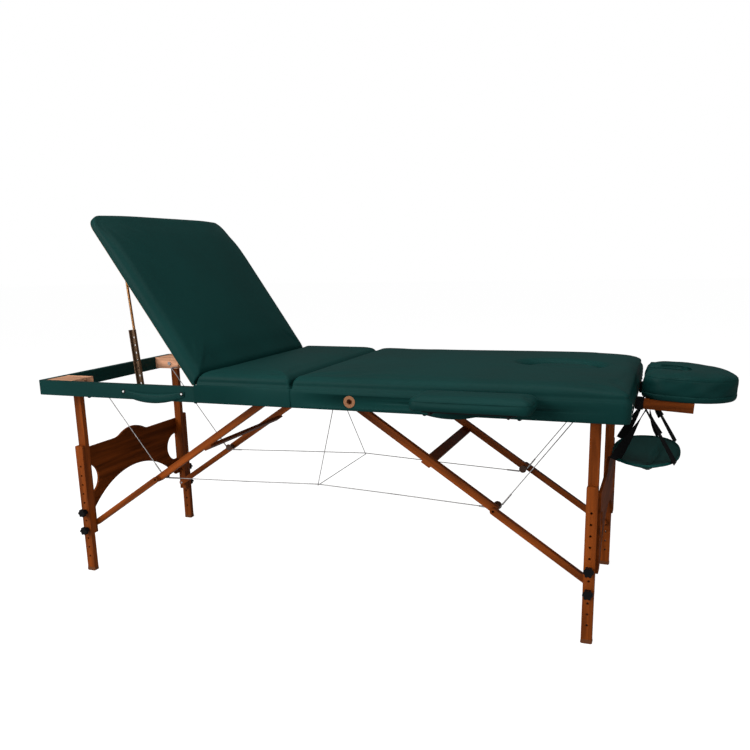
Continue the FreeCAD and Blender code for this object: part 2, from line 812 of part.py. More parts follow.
def hinges():
    fold_leaf_low = S.rail_bottom - S.leaf_thick
    right = leaf("fold_leaf_right", -S.hinge_spread, fold_x, fold_z, 1, fold_leaf_low, True)
    node(pair("fold_leaves_right", right), "right_hinge_leaves")
    left = leaf("fold_leaf_left", -S.hinge_spread, fold_x, fold_z, -1, fold_leaf_low, False)
    seat = leaf("seat_leaf", -S.hinge_spread, along(-S.back_hinge), back_z, 1,
                rail_top - S.leaf_thick, False)
    node(group("left_leaves", pair("fold_leaves_left", left), pair("seat_leaves", seat)), "left_hinge_leaves")
    back = leaf("back_leaf", -S.hinge_spread, size(0), size(0), -1, -board_half - S.leaf_thick, True)
    fittings = group("back_fittings", pair("back_leaves", back), pair("prop_ears", prop_ear()))
    node(raise_backrest(fittings), "backrest_hinges")


# Props that hold the backrest up

head_x = -S.prop_head
head_z = -board_half - S.prop_head_drop
prop_top_x = along(-S.back_hinge) + head_x * cosine(S.back_angle) + head_z * sine(S.back_angle)
prop_top_z = back_z - head_x * sine(S.back_angle) + head_z * cosine(S.back_angle)
prop_foot_x = along(-S.prop_foot)
prop_angle = slope(prop_top_z - prop_foot_z, prop_foot_x - prop_top_x)
prop_side = rail_inner - S.prop_inset
rod_inner = prop_side - S.prop_radius
rod_outer = prop_side + S.prop_radius
web_inner = rod_outer + S.side_gap / 2
web_outer = web_inner + S.channel_wall


def prop_ear():
    """Ear under the backrest with the pin for the prop rod."""
    half = S.prop_eye + S.channel_wall
    thick = S.channel_wall + S.running_gap
    outer = rod_inner - S.side_gap
    blank = plate("ear_blank", "XZ_Plane", -(outer - thick), thick, [(
        (head_x - half, -board_half),
        to((head_x - half, head_z)),
        over((head_x, head_z - half), (head_x + half, head_z)),
        to((head_x + half, -board_half)),
        to((head_x - half, -board_half)),
    )])
    pin = cylinder("ear_pin", "y", (head_x, -rod_outer, head_z), rod_outer - outer + thick / 2, S.stud_radius)
    return fuse("prop_ear", blank, pin)


def lean(obj, x, z, angle):
    """Turn a piece built along X about the Y axis and set its start."""
    obj.Placement = Placement(Vector(), Rotation(Vector(0, 1, 0), 1))
    bind(obj, "Placement.Base.x", x)
    bind(obj, "Placement.Base.z", z)
    bind(obj, "Placement.Rotation.Angle", angle)
    return obj


def props():
    start = (S.prop_eye + S.stud_radius) / 2
    bar = cylinder("rod_bar", "x", (start, -prop_side, size(0)), S.prop_long - start, S.prop_radius)
    eye = cylinder("rod_eye", "y", (size(0), S.prop_flat - rod_outer, size(0)),
                   2 * (S.prop_radius - S.prop_flat), S.prop_eye)
    hole = cylinder("rod_hole", "y", (size(0), -rod_outer, size(0)), 2 * S.prop_radius,
                    S.stud_radius + S.running_gap)
    rod = lean(cut("rod", fuse("rod_solid", bar, eye), hole), prop_top_x, prop_top_z, prop_angle)
    node(pair("rods", rod), "prop_rods")

    half = S.channel_wide / 2
    holes = [((size(0), 0), S.bolt_radius + S.running_gap)]
    for number in range(1, CHANNEL_HOLES + 1):
        holes.append(((-S.channel_pitch * number, 0), S.channel_hole))
    channel = plate("channel", "XZ_Plane", -web_inner, S.channel_wall,
                    [rectangle((-S.channel_long, -half), (S.channel_tail, half))], holes)
    for number, edge in enumerate((-half, half - S.channel_wall)):
        add_pad(channel, f"flange_{number}", "XZ_Plane", -web_outer, S.channel_lip,
                [rectangle((-S.channel_long, edge), (S.channel_tail, edge + S.channel_wall))])
    lean(channel, prop_foot_x, prop_foot_z, prop_angle)
    node(pair("channels", channel), "prop_channels")


# Legs

def leg_sets():
    """Upper legs, end panel and brace bolts that turn together, and the sliding lower legs."""
    half = S.post_wide / 2
    middle = along(leg_place)
    foot_x = along(leg_place - S.brace_set)
    holes = [((middle, leg_z), S.bolt_radius + S.running_gap), ((foot_x, S.brace_foot), S.bolt_radius)]
    for height in knob_heights:
        holes.append(((middle, height), S.stud_radius + S.running_gap))
    post = plate("post", "XZ_Plane", -S.post_inner, S.post_thick, [(
        (middle - half, S.post_bottom),
        to((middle + half, S.post_bottom)),
        to((middle + half, leg_z)),
        over((middle, leg_z + half), (middle - half, leg_z)),
        to((middle - half, S.post_bottom)),
    )], holes)
    posts = pair("right_posts", post)
    node(posts, "right_upper_legs")
    node(opposite(posts, "left_posts"), "left_upper_legs")

    bolt = cylinder("brace_bolt", "y", (foot_x, -post_outer, S.brace_foot),
                    post_outer - stay_inner + S.running_gap, S.bolt_radius)
    bolts = pair("right_brace_bolts", bolt)
    node(bolts, "right_leg_bolts")
    node(opposite(bolts, "left_brace_bolts"), "left_leg_bolts")


def end_panels():
    """Shaped panel on the outer faces of the upper legs: crest, arch and half-round cut-outs."""
    face = along(leg_place + S.post_wide / 2)
    side = post_outer - S.running_gap
    eye = S.post_inner
    eye_mid = (S.eye_low + S.eye_high) / 2
    crest_mid = (S.crest_half + S.crest_foot) / 2
    crest_low = S.panel_shoulder + S.crest_lift / 4
    crest_turn = S.panel_shoulder + S.crest_lift
    outline = (
        (-side, S.panel_tip),
        to((-S.arch_half, S.panel_tip)),
        over((size(0), S.arch_top), (S.arch_half, S.panel_tip)),
        to((side, S.panel_tip)),
        to((side, S.panel_shoulder)),
        to((S.crest_foot, S.panel_shoulder)),
        over((crest_mid, crest_low), (S.crest_half, crest_turn)),
        over((size(0), S.panel_crest), (-S.crest_half, crest_turn)),
        over((-crest_mid, crest_low), (-S.crest_foot, S.panel_shoulder)),
        to((-side, S.panel_shoulder)),
        to((-side, S.panel_tip)),
    )
    eyes = [
        ((hand * eye, S.eye_low), to((hand * eye, S.eye_high)),
         over((hand * (eye - S.eye_deep), eye_mid), (hand * eye, S.eye_low)))
        for hand in (-1, 1)
    ]
    panel = plate("panel", "YZ_Plane", face, S.panel_thick, [outline] + eyes)
    node(panel, "right_end_panel")
    node(opposite(panel, "left_panel"), "left_end_panel")


def four_corners(piece, name):
    """A piece of the right near leg, repeated on the other three legs."""
    far = across(piece, "right_far_" + name + "_copy")
    node(piece, "right_near_" + name)
    node(far, "right_far_" + name)
    node(opposite(piece, "left_near_" + name + "_copy"), "left_near_" + name)
    node(opposite(far, "left_far_" + name + "_copy"), "left_far_" + name)


def lower_legs():
    half = S.leg_wide / 2
    middle = along(leg_place)
    nip = S.foot_height / 4
    holes = [
        ((middle, S.knob_low + S.hole_pitch * step), S.stud_radius + S.stud_room)
        for step in range(-HOLES_BELOW, HOLES_ABOVE + 1)
    ]
    leg = plate("lower_leg", "XZ_Plane", -leg_inner, S.leg_thick, [(
        (middle - half, S.foot_height),
        to((middle + half, S.foot_height)),
        to((middle + half, S.leg_top - nip)),
        to((middle + half - nip, S.leg_top)),
        to((middle - half + nip, S.leg_top)),
        to((middle - half, S.leg_top - nip)),
        to((middle - half, S.foot_height)),
    )], holes)
    four_corners(leg, "lower_leg")


def feet():
    """Rubber caps that widen a little to the floor."""
    wide = S.leg_wide / 2 + S.foot_lip
    middle = along(leg_place)
    inner, outer = leg_inner + S.running_gap, leg_outer + S.foot_lip
    nip = S.foot_height / 4
    cap = plate("foot", "XZ_Plane", -inner, outer - inner, [(
        (middle - wide + nip, size(0)),
        to((middle + wide - nip, size(0))),
        to((middle + wide, nip)),
        to((middle + wide - S.foot_lip, S.foot_height)),
        to((middle - wide + S.foot_lip, S.foot_height)),
        to((middle - wide, nip)),
        to((middle - wide + nip, size(0))),
    )])
    four_corners(cap, "foot")


def knob(name, height):
    """Star knob with its neck and stud, screwed through the lower leg into the upper one."""
    middle = along(leg_place)
    step = math.pi / KNOB_LOBES
    lobe = 0.55 * step
    waist = (S.knob_radius + S.knob_valley) / 2

    def spot(radius, turn):
        return middle + radius * math.cos(turn), height + radius * math.sin(turn)

    start = spot(waist, -lobe)
    steps = []
    for number in range(KNOB_LOBES):
        turn = 2 * step * number
        steps.append(over(spot(S.knob_radius, turn), spot(waist, turn + lobe)))
        finish = start if number == KNOB_LOBES - 1 else spot(waist, turn + 2 * step - lobe)
        steps.append(over(spot(S.knob_valley, turn + step), finish))
    seat = leg_outer + S.running_gap
    body = plate(name, "XZ_Plane", -(seat + S.knob_neck), S.knob_thick, [(start, *steps)])
    add_pad(body, name + "_neck", "XZ_Plane", -seat, S.knob_neck, [], [((middle, height), S.knob_neck_radius)])
    tip = S.post_inner + S.stud_short
    add_pad(body, name + "_stud", "XZ_Plane", -tip, seat - tip, [], [((middle, height), S.stud_radius)])
    return body


def knobs():
    for label, height in zip(("lower_knob", "upper_knob"), knob_heights):
        four_corners(knob(label, height), label)


# Braces

def braces():
    """Upper braces with their crossbar, and the lower braces that carry the legs."""
    half = S.brace_deep / 2
    bar_start = S.bar_along - S.bar_wide / 2
    notch_top = S.bar_let_in - half
    outline = (
        (size(0), -half),
        to((bar_start, -half)),
        to((bar_start, notch_top)),
        to((bar_start + S.bar_wide, notch_top)),
        to((bar_start + S.bar_wide, -half)),
        to((brace_long, -half)),
        over((brace_long + half, 0), (brace_long, half)),
        to((size(0), half)),
        over((-half, 0), (size(0), -half)),
    )
    holes = [((size(0), 0), S.bolt_radius + S.running_gap), ((brace_long, 0), S.bolt_radius)]
    brace = plate("brace", "XZ_Plane", -brace_inner, S.brace_thick, [outline], holes)
    lean(brace, along(S.brace_place), brace_z, brace_angle)
    bar = box("crossbar", (bar_start, -brace_outer, notch_top - S.bar_thick),
              (bar_start + S.bar_wide, brace_outer, notch_top))
    turned_bar = lean(group("crossbar_turned", bar), along(S.brace_place), brace_z, brace_angle)
    uppers = group("right_braces", pair("brace_pair", brace), turned_bar)
    node(uppers, "right_upper_braces")
    node(opposite(uppers, "left_braces"), "left_upper_braces")

    stay_holes = [((size(0), 0), S.bolt_radius + S.running_gap), ((stay_long, 0), S.bolt_radius + S.running_gap)]
    stay = plate("stay", "XZ_Plane", -stay_inner, S.stay_thick, [bar_outline(stay_long, S.stay_deep)], stay_holes)
    lean(stay, joint_x, joint_z, brace_angle)
    lowers = pair("right_stays", stay)
    node(lowers, "right_lower_braces")
    node(opposite(lowers, "left_stays"), "left_lower_braces")


# The cable runs round the hub of each brace joint at this distance from its middle.
hub_path = S.bolt_head + S.running_gap + S.cable_radius


def joint_bolts():
    """Bolts of the brace joints; each has a hub inside that the cable hangs under."""
    inner = S.cable_side - 2 * S.cable_radius
    shank = cylinder("joint_shank", "y", (joint_x, -brace_outer, joint_z), brace_outer - inner, S.bolt_radius)
    hub = cylinder("joint_hub", "y", (joint_x, -brace_inner, joint_z), brace_inner - inner, S.bolt_head)
    flange = cylinder("joint_flange", "y", (joint_x, -inner, joint_z), S.hub_flange,
                      hub_path + S.cable_radius + S.hub_flange)
    bolts = pair("right_joint_bolts", fuse("joint_bolt", shank, hub, flange))
    node(bolts, "right_knuckle_bolts")
    node(opposite(bolts, "left_joint_bolts"), "left_knuckle_bolts")


# Steel fittings of the frame

def brace_bracket():
    """Bracket under the deck with two ears and a pin for the upper brace."""
    middle = along(S.brace_place)
    half = S.ear_wide / 2
    pieces = [box("bracket_plate", (middle - half, -(brace_outer + S.ear_thick), rail_top - S.ear_thick),
                  (middle + half, -(brace_inner - S.ear_thick), rail_top))]
    for number, face in enumerate((brace_inner - S.running_gap, brace_outer + S.ear_thick + S.running_gap)):
        pieces.append(plate(f"bracket_ear_{number}", "XZ_Plane", -(face - S.ear_thick), S.ear_thick, [(
            (middle - half, rail_top),
            to((middle - half, brace_z)),
            over((middle, brace_z - half), (middle + half, brace_z)),
            to((middle + half, rail_top)),
            to((middle - half, rail_top)),
        )]))
    outer = brace_outer + S.ear_thick + S.running_gap
    pieces.append(cylinder("bracket_pin", "y", (middle, -outer, brace_z), outer - brace_inner + S.ear_thick,
                           S.bolt_radius))
    return fuse("brace_bracket", *pieces)


def leg_bolt():
    """Bolt through the corner block and the top of the leg."""
    shank = cylinder("leg_bolt_shank", "y", (along(leg_place), -rail_inner, leg_z), rail_inner - block_inner,
                     S.bolt_radius)
    head = cylinder("leg_bolt_head", "y", (along(leg_place), -block_inner, leg_z), S.head_thick, S.bolt_head)
    return fuse("leg_bolt", shank, head)


def cable_eye():
    """Screw eye in the corner block that holds the end of a cable."""
    tip = S.cable_side - 2 * S.cable_radius
    return cylinder("cable_eye", "y", (along(cable_eye_x), -block_inner, cable_eye_z),
                    block_inner - tip, S.eye_radius)


def prop_bolt():
    """Bolt in the left side rail that the prop channel turns on."""
    shank = cylinder("prop_bolt_shank", "y", (prop_foot_x, -rail_inner, prop_foot_z),
                     rail_inner - web_inner + S.running_gap, S.bolt_radius)
    head = cylinder("prop_bolt_head", "y", (prop_foot_x, -(web_inner - S.running_gap), prop_foot_z),
                    S.head_thick - S.side_gap, S.bolt_head - S.side_gap)
    collar = cylinder("prop_bolt_collar", "y", (prop_foot_x, -rail_inner, prop_foot_z),
                      rail_inner - web_outer - S.channel_lip, S.bolt_head)
    return fuse("prop_bolt", shank, head, collar)


def fittings():
    shared = group("half_fittings", pair("leg_bolts", leg_bolt()), pair("brackets", brace_bracket()),
                   pair("cable_eyes", cable_eye()))
    node(shared, "right_fittings")
    left = group("left_half_fittings", opposite(shared, "left_shared_fittings"), pair("prop_bolts", prop_bolt()))
    node(left, "left_fittings")


def grommets():
    """Sleeves in the side rails for plug-in accessories, each with a rim outside."""
    x, z = along(S.grommet_place), grommet_z
    sleeve = cylinder("sleeve", "y", (x, -half_width, z), S.rail_thick, S.grommet_tube)
    rim = cylinder("sleeve_rim", "y", (x, -(half_width + S.rim_thick), z), S.rim_thick, S.grommet_rim)
    bore = cylinder("sleeve_bore", "y", (x, -(half_width + S.rim_thick), z), S.rail_thick + S.rim_thick,
                    S.grommet_bore)
    node(pair("sleeves", cut("grommet", fuse("grommet_solid", sleeve, rim), bore)), "grommets")


# Handles, padded straps that hang between two screws

HANDLE_STEPS = (0, 0.06, 0.18, 0.34, 0.5, 0.66, 0.82, 0.94, 1)


def handle():
    sections = []
    face = half_width + S.running_gap
    for share in HANDLE_STEPS:
        bow = 1 - (2 * share - 1) ** 2
        middle = handle_z - S.handle_sag * bow
        tall = S.handle_half + S.handle_swell * bow
        thick = S.handle_thick * (0.45 + 0.55 * bow)
        sections.append((along(S.handle_near + S.handle_long * share), (
            (-face - thick / 3, middle - tall),
            over((-face, middle), (-face - thick / 3, middle + tall)),
            over((-face - thick, middle), (-face - thick / 3, middle - tall)),
        )))
    return loft("handle", "YZ_Plane", sections)


def handles():
    right = handle()
    node(right, "right_handle")
    node(opposite(right, "left_handle_copy"), "left_handle")


# Cables and cord, straight between the things that hold them

def vector(x, y, z):
    return Vector(size(x).number, size(y).number, size(z).number)


def tube(points, bends, radius):
    """A round tube along straight runs joined by arcs of the given radii."""
    edges = []
    last = points[0]
    for before, corner, after, bend in zip(points, points[1:], points[2:], bends):
        arrive = (corner - before).normalize()
        leave = (after - corner).normalize()
        turn = arrive.getAngle(leave)
        reach = bend * math.tan(turn / 2)
        start, finish = corner - arrive * reach, corner + leave * reach
        inward = (leave - arrive).normalize()
        crown = corner + inward * (bend / math.cos(turn / 2) - bend)
        edges.append(Part.LineSegment(last, start).toShape())
        edges.append(Part.Arc(start, crown, finish).toShape())
        last = finish
    edges.append(Part.LineSegment(last, points[-1]).toShape())
    path = Part.Wire(edges)
    first = (points[1] - points[0]).normalize()
    profile = Part.Wire([Part.makeCircle(radius, points[0], first)])
    solid = path.makePipeShell([profile], True, True)
    print(f"tube {path.Length:.1f} mm long, bends {['%.0f' % bend for bend in bends]}")
    return solid


GENTLE_BEND = 150


HUB_STEPS = 12


def hub_corner(eye_x, eye_z):
    """Where the two straight runs beside a hub would meet, counted from the fold line."""
    hub = Vector((joint_x - fold_x).number, 0, joint_z.number)
    eye = Vector(eye_x, 0, eye_z)
    middle = Vector(0, 0, S.cable_middle.number)
    corner = hub
    for step in range(HUB_STEPS):
        arrive = (corner - eye).normalize()
        leave = (middle - corner).normalize()
        inward = (leave - arrive).normalize()
        corner = hub - inward * (hub_path.number / math.cos(arrive.getAngle(leave) / 2))
    return corner.x, corner.z


def support_cables():
    """One cable along each side, held at both ends, and a cord triangle under the fold."""
    eye_x, eye_z = cable_eye_x.number, cable_eye_z.number
    low_x, low_z = hub_corner(eye_x, eye_z)
    run = math.hypot(eye_x - low_x, eye_z - low_z)
    short = (S.eye_radius.number + S.cable_radius.number) / run
    end_x = eye_x - (eye_x - low_x) * short
    end_z = eye_z - (eye_z - low_z) * short
    middle = fold_x.number
    side = S.cable_side.number
    bends = (hub_path.number, GENTLE_BEND, hub_path.number)
    shapes = []
    for hand in (-1, 1):
        y = hand * side
        shapes.append(tube([
            Vector(middle + end_x, y, end_z),
            Vector(middle + low_x, y, low_z),
            Vector(middle, y, S.cable_middle.number),
            Vector(middle - low_x, y, low_z),
            Vector(middle - end_x, y, end_z),
        ], bends, S.cable_radius.number))
    cord = S.cord_radius.number
    under = S.cable_middle.number - S.cable_radius.number - cord - S.side_gap.number
    top = S.rail_bottom.number - cord
    hang = middle - S.fold_gap.number - S.rail_thick.number / 2
    round_cable = 3 * cord
    shapes.append(tube([
        Vector(hang, -2 * cord, top),
        Vector(middle, -side, under),
        Vector(middle, side, under),
        Vector(hang, 2 * cord, top),
    ], (round_cable, round_cable), cord))
    cables = doc.addObject("Part::Feature", "cables")
    cables.Shape = Part.makeCompound(shapes)
    node(cables, "support_cables")


# Headrest and the arm sling under it

# The headrest is built level from the table's end and then sloped about the dowels' line.
# Its length along the slope follows from how far the foam's rounded top edge reaches out.

arm_top = S.arm_deep / 2
board_top = arm_top + S.headrest_board
round_height = board_top + S.headrest_foam - S.headrest_top_round
headrest_reach = S.headrest_out - S.side_gap - S.headrest_top_round
headrest_tip = ((headrest_reach - round_height * sine(S.headrest_tilt)) / cosine(S.headrest_tilt)
                + S.headrest_top_round)
arm_start = S.arm_deep / 2 * sine(S.headrest_tilt)
slant = sine(S.headrest_tilt) / cosine(S.headrest_tilt)


def slope_headrest(obj):
    return lean(obj, along(half_length + S.side_gap), arm_z, S.headrest_tilt)


def headrest_outline(inset):
    """Horseshoe, open towards the table; inset draws the whole outline in."""
    near = S.headrest_gap - S.side_gap + inset
    tip = headrest_tip - inset
    half = S.headrest_half - inset
    slot = S.headrest_slot + inset
    turn = half * 0.36
    bend = turn - turn * DIAGONAL
    bow = tip - half
    deep = tip + inset - S.headrest_bow - inset
    return (
        (near, -slot),
        to((deep - slot, -slot)),
        over((deep, 0), (deep - slot, slot)),
        to((near, slot)),
        to((near, half - turn)),
        over((near + bend, half - bend), (near + turn, half)),
        to((bow, half)),
        over((bow + half * DIAGONAL, half * DIAGONAL), (tip, 0)),
        over((bow + half * DIAGONAL, -half * DIAGONAL), (bow, -half)),
        to((near + turn, -half)),
        over((near + bend, bend - half), (near, turn - half)),
        to((near, -slot)),
    )


def headrest():
    arm = box("headrest_arm", (arm_start, -(S.arm_side + S.arm_wide / 2), -arm_top),
              (S.arm_long - S.side_gap, -(S.arm_side - S.arm_wide / 2), arm_top))
    dowel = cylinder("headrest_dowel", "x", (along(half_length - S.dowel_long), -S.arm_side, arm_z),
                     S.dowel_long + S.side_gap + 2 * arm_start, S.dowel_radius)
    board = plate("headrest_ply", "XY_Plane", arm_top, S.headrest_board, [headrest_outline(S.board_inset)])
    sloped_arm = slope_headrest(group("sloped_arm", arm))
    frame = group("headrest_wood", pair("arms", fuse("arm", sloped_arm, dowel)), slope_headrest(board))
    node(frame, "headrest_frame")
    foam = plate("headrest_pad", "XY_Plane", board_top, S.headrest_foam, [headrest_outline(size(0))])
    round_edges(foam, "headrest_crown", board_top + S.headrest_foam, S.headrest_top_round)
    round_edges(foam, "headrest_under", board_top, S.headrest_base_round)
    node(slope_headrest(foam), "headrest_cushion")


SLING_STEPS = (0, 0.05, 0.18, 0.36, 0.5, 0.64, 0.82, 0.95, 1)


def sling():
    """Oval padded cloth that sags between four straps over the headrest arms."""
    start = half_length - S.sling_start
    end = half_length + S.sling_end
    wide = end - start
    sections = []
    for share in SLING_STEPS:
        offset = abs(2 * share - 1)
        half = S.sling_half * (0.55 + 0.45 * math.sqrt(1 - offset ** 2.5))
        rim = sling_z + S.sling_sag * (offset ** 2 - 1) * 0.3
        drop = S.sling_sag * 0.7
        sections.append((along(start + wide * share), (
            (-half, rim),
            over((size(0), rim - drop - S.sling_thick), (half, rim)),
            to((half, rim + S.sling_thick / 3)),
            over((size(0), rim - drop), (-half, rim + S.sling_thick / 3)),
            to((-half, rim)),
        )))
    node(loft("sling_cloth", "YZ_Plane", sections), "sling_pad")

    under_arm = (arm_top + S.running_gap + S.strap_ring) / cosine(S.headrest_tilt)
    top = arm_z - (S.sling_place - S.side_gap) * slant - under_arm
    foot = sling_z - S.strap_sink
    straps = []
    for name, edge in (("inner_strap", start + S.strap_inset), ("outer_strap", end - S.strap_inset)):
        run = edge - sling_x
        drop = top - foot
        strap = box(name, (size(0), -(S.arm_side + S.strap_wide / 2), -S.strap_thick / 2),
                    (root(run * run + drop * drop), -(S.arm_side - S.strap_wide / 2), S.strap_thick / 2))
        straps.append(pair(name + "s", lean(group(name + "_set", strap), along(sling_x), top, slope(drop, run))))
    ring = cylinder("strap_ring", "y", (along(sling_x), -(S.arm_side + S.strap_wide / 2), top),
                    S.strap_wide, S.strap_ring)
    node(group("straps", pair("strap_rings", ring), *straps), "sling_straps")


# Plug-in armrests

def armrests():
    inner = half_width + S.armrest_gap
    middle_y = inner + S.armrest_wide / 2
    half = S.armrest_wide / 2
    start = along(S.armrest_place - S.armrest_long / 2)
    end = along(S.armrest_place + S.armrest_long / 2)
    top = armrest_z + S.armrest_high
    ends = [rounded_end(place, inward, half, top, S.armrest_crown, S.armrest_corner, S.armrest_roll)
            for place, inward in ((start, 1), (end, -1))]
    pad = cushion("armrest_foam", ends[0] + ends[1][::-1], armrest_z, S.armrest_high,
                  S.foam_draw / 2, S.armrest_roll)
    bind(pad, "Placement.Base.y", -middle_y)
    node(pad, "near_armrest_pad")
    node(across(pad, "far_armrest_foam"), "far_armrest_pad")

    plate_inner = half_width + S.plate_gap
    low = armrest_z - S.plate_thick
    pieces = [box("armrest_plate",
                  (along(S.armrest_place) - S.plate_long / 2, -(plate_inner + S.plate_wide), low),
                  (along(S.armrest_place) + S.plate_long / 2, -plate_inner, armrest_z))]
    for number, spread in enumerate((-S.peg_spread, S.peg_spread)):
        reach = plate_inner + S.plate_wide
        pieces.append(cylinder(f"armrest_peg_{number}", "y", (along(S.armrest_place + spread), -reach, peg_height),
                               reach - rail_inner, S.peg_radius))
    bracket = fuse("armrest_bracket", *pieces)
    node(bracket, "near_armrest_bracket")
    node(across(bracket, "far_armrest_steel"), "far_armrest_bracket")


def build():
    side_rails()
    cross_rails()
    corner_blocks()
    decks()
    cushions()
    face_plug()
    backrest()
    hinges()
    props()
    leg_sets()
    end_panels()
    lower_legs()
    feet()
    knobs()
    braces()
    joint_bolts()
    fittings()
    grommets()
    handles()
    support_cables()
    headrest()
    sling()
    armrests()
    doc.recompute()


def check():
    """Every object is sound, and every piece is made of valid solids."""
    for obj in doc.Objects:
        if "Invalid" in obj.State or "Error" in obj.State:
            raise RuntimeError(f"{obj.Label} did not build: {obj.getStatusString()}")
    for obj in nodes:
        shape = obj.Shape
        if shape.isNull() or not shape.isValid() or not shape.Solids:
            raise RuntimeError(f"{obj.Label} is not a sound solid")


def write():
    os.makedirs("parts", exist_ok=True)
    for obj in nodes:
        obj.Shape.exportStep(f"parts/{obj.Label}.step")
    print(f"{len(nodes)} pieces written")


build()
check()
write()
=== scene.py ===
# %% [markdown]
# A folding massage table, dressed for its picture.
# The solid model arrives as a fixed frame, and every soft or printed surface is built over it here.
# Sizes are in metres; X runs along the table, -Y is the side with the handles and Z is up.

# %% Frame
import bmesh
import bpy
import math
import numpy as np
from mathutils import Matrix, Vector
from mathutils.bvhtree import BVHTree


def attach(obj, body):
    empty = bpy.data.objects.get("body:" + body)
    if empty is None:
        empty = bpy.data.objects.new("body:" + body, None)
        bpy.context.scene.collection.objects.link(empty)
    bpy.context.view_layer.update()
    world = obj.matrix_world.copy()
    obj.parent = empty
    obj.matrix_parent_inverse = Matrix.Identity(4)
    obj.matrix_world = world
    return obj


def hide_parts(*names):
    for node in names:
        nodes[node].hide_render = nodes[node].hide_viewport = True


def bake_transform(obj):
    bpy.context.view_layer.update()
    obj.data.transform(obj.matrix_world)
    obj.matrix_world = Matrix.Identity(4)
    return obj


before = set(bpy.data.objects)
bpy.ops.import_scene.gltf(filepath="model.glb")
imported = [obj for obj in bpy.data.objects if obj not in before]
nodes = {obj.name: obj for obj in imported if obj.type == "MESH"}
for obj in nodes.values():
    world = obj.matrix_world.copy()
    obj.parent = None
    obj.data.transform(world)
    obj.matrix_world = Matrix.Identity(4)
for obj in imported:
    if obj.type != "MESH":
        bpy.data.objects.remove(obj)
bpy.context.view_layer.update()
scene = bpy.context.scene

# %% [markdown]
# The sizes that several pieces share are named once, in the words of the workshop.
# Places along the table are counted from the fold line, because both halves mirror about it.

# %% Shared sizes
FOLD_X = -0.1325
HALF_LONG = 0.925
HALF_WIDE = 0.365
RAIL_LOW = 0.630
DECK_TOP = 0.681
FOAM_EDGE = 0.722
FOAM_CROWN = 0.008
BACK_HINGE = Vector((FOLD_X - 0.322, 0, 0.6788))
BACK_ANGLE = math.radians(56)
BRACE_ANGLE = math.radians(33.8146)
HUB = (0.56777, 0.33999)
LEFT, RIGHT = -1, 1


def along(distance):
    """Place on the X axis of a distance from the fold line."""
    return FOLD_X + distance


print("fold line at", FOLD_X)

# %% [markdown]
# The camera stands where the photographer stood, a little right of the table's middle and slightly above it.
# Its place and lens come from solving the perspective of the rails and legs.
# The picture's centre lies above the lens axis, so the frame is shifted and not the camera tilted.

# %% Camera
camera_data = bpy.data.cameras.new("table_camera")
camera_data.sensor_width = 36
camera_data.lens = 37.198
camera_data.shift_y = 0.07799
camera_data.clip_end = 60
camera = bpy.data.objects.new("table_camera", camera_data)
scene.collection.objects.link(camera)
CAMERA_PLACE = (along(1.005684), -2.317177, 1.043945)
yaw, pitch, roll = 0.366388, -0.223252, -0.022327
ahead = Vector((-math.sin(yaw) * math.cos(pitch), math.cos(yaw) * math.cos(pitch), math.sin(pitch)))
level = Vector((math.cos(yaw), math.sin(yaw), 0))
upward = level.cross(ahead)
side = level * math.cos(roll) + upward * math.sin(roll)
upward = upward * math.cos(roll) - level * math.sin(roll)
turn = Matrix((side, upward, -ahead)).transposed().to_4x4()
camera.matrix_world = Matrix.Translation(CAMERA_PLACE) @ turn
scene.camera = camera
print("camera at", [round(value, 3) for value in camera.location])

# %% [markdown]
# A catalogue picture is lit by large soft lamps, on a floor so pale that it melts into the wall.
# A white room would wash out dark vinyl, so the room is white only where the camera looks straight at it.
# As a source of light it is dim, and darkest at the horizon. Four wide lamps give the light and the
# highlights.

# %% Studio
world = bpy.data.worlds.new("studio")
world.use_nodes = True
room = world.node_tree
backdrop = room.nodes["Background"]
backdrop.inputs["Color"].default_value = (1.0, 1.0, 1.0, 1)
HORIZON_LIGHT, ZENITH_LIGHT = 0.06, 0.34
seen = room.nodes.new("ShaderNodeLightPath")
direction = room.nodes.new("ShaderNodeTexCoord")
height = room.nodes.new("ShaderNodeSeparateXYZ")
room.links.new(direction.outputs["Generated"], height.inputs["Vector"])
room_light = room.nodes.new("ShaderNodeMapRange")
room_light.inputs["To Min"].default_value = HORIZON_LIGHT
room_light.inputs["To Max"].default_value = ZENITH_LIGHT
room.links.new(height.outputs["Z"], room_light.inputs["Value"])
brightest = room.nodes.new("ShaderNodeMath")
brightest.operation = "MAXIMUM"
room.links.new(seen.outputs["Is Camera Ray"], brightest.inputs[0])
room.links.new(room_light.outputs["Result"], brightest.inputs[1])
room.links.new(brightest.outputs["Value"], backdrop.inputs["Strength"])
scene.world = world
scene.view_settings.view_transform = "Standard"


def soft_lamp(name, place, aim, wide, power):
    """A round lamp at a place, turned towards an aim."""
    lamp = bpy.data.lights.new(name, "AREA")
    lamp.shape = "DISK"
    lamp.size = wide
    lamp.energy = power
    obj = bpy.data.objects.new(name, lamp)
    scene.collection.objects.link(obj)
    obj.location = place
    obj.rotation_euler = (Vector(aim) - Vector(place)).to_track_quat("-Z", "Y").to_euler()


soft_lamp("top_lamp", (0.3, -0.8, 3.4), (0, 0, 0.6), 3.0, 52)
soft_lamp("front_lamp", (-1.9, -3.8, 2.0), (-0.3, 0, 0.55), 2.4, 108)
soft_lamp("right_lamp", (3.4, -2.2, 1.7), (0, 0, 0.5), 2.0, 30)
soft_lamp("left_lamp", (-3.2, -2.4, 2.4), (-0.3, 0, 0.6), 2.0, 30)

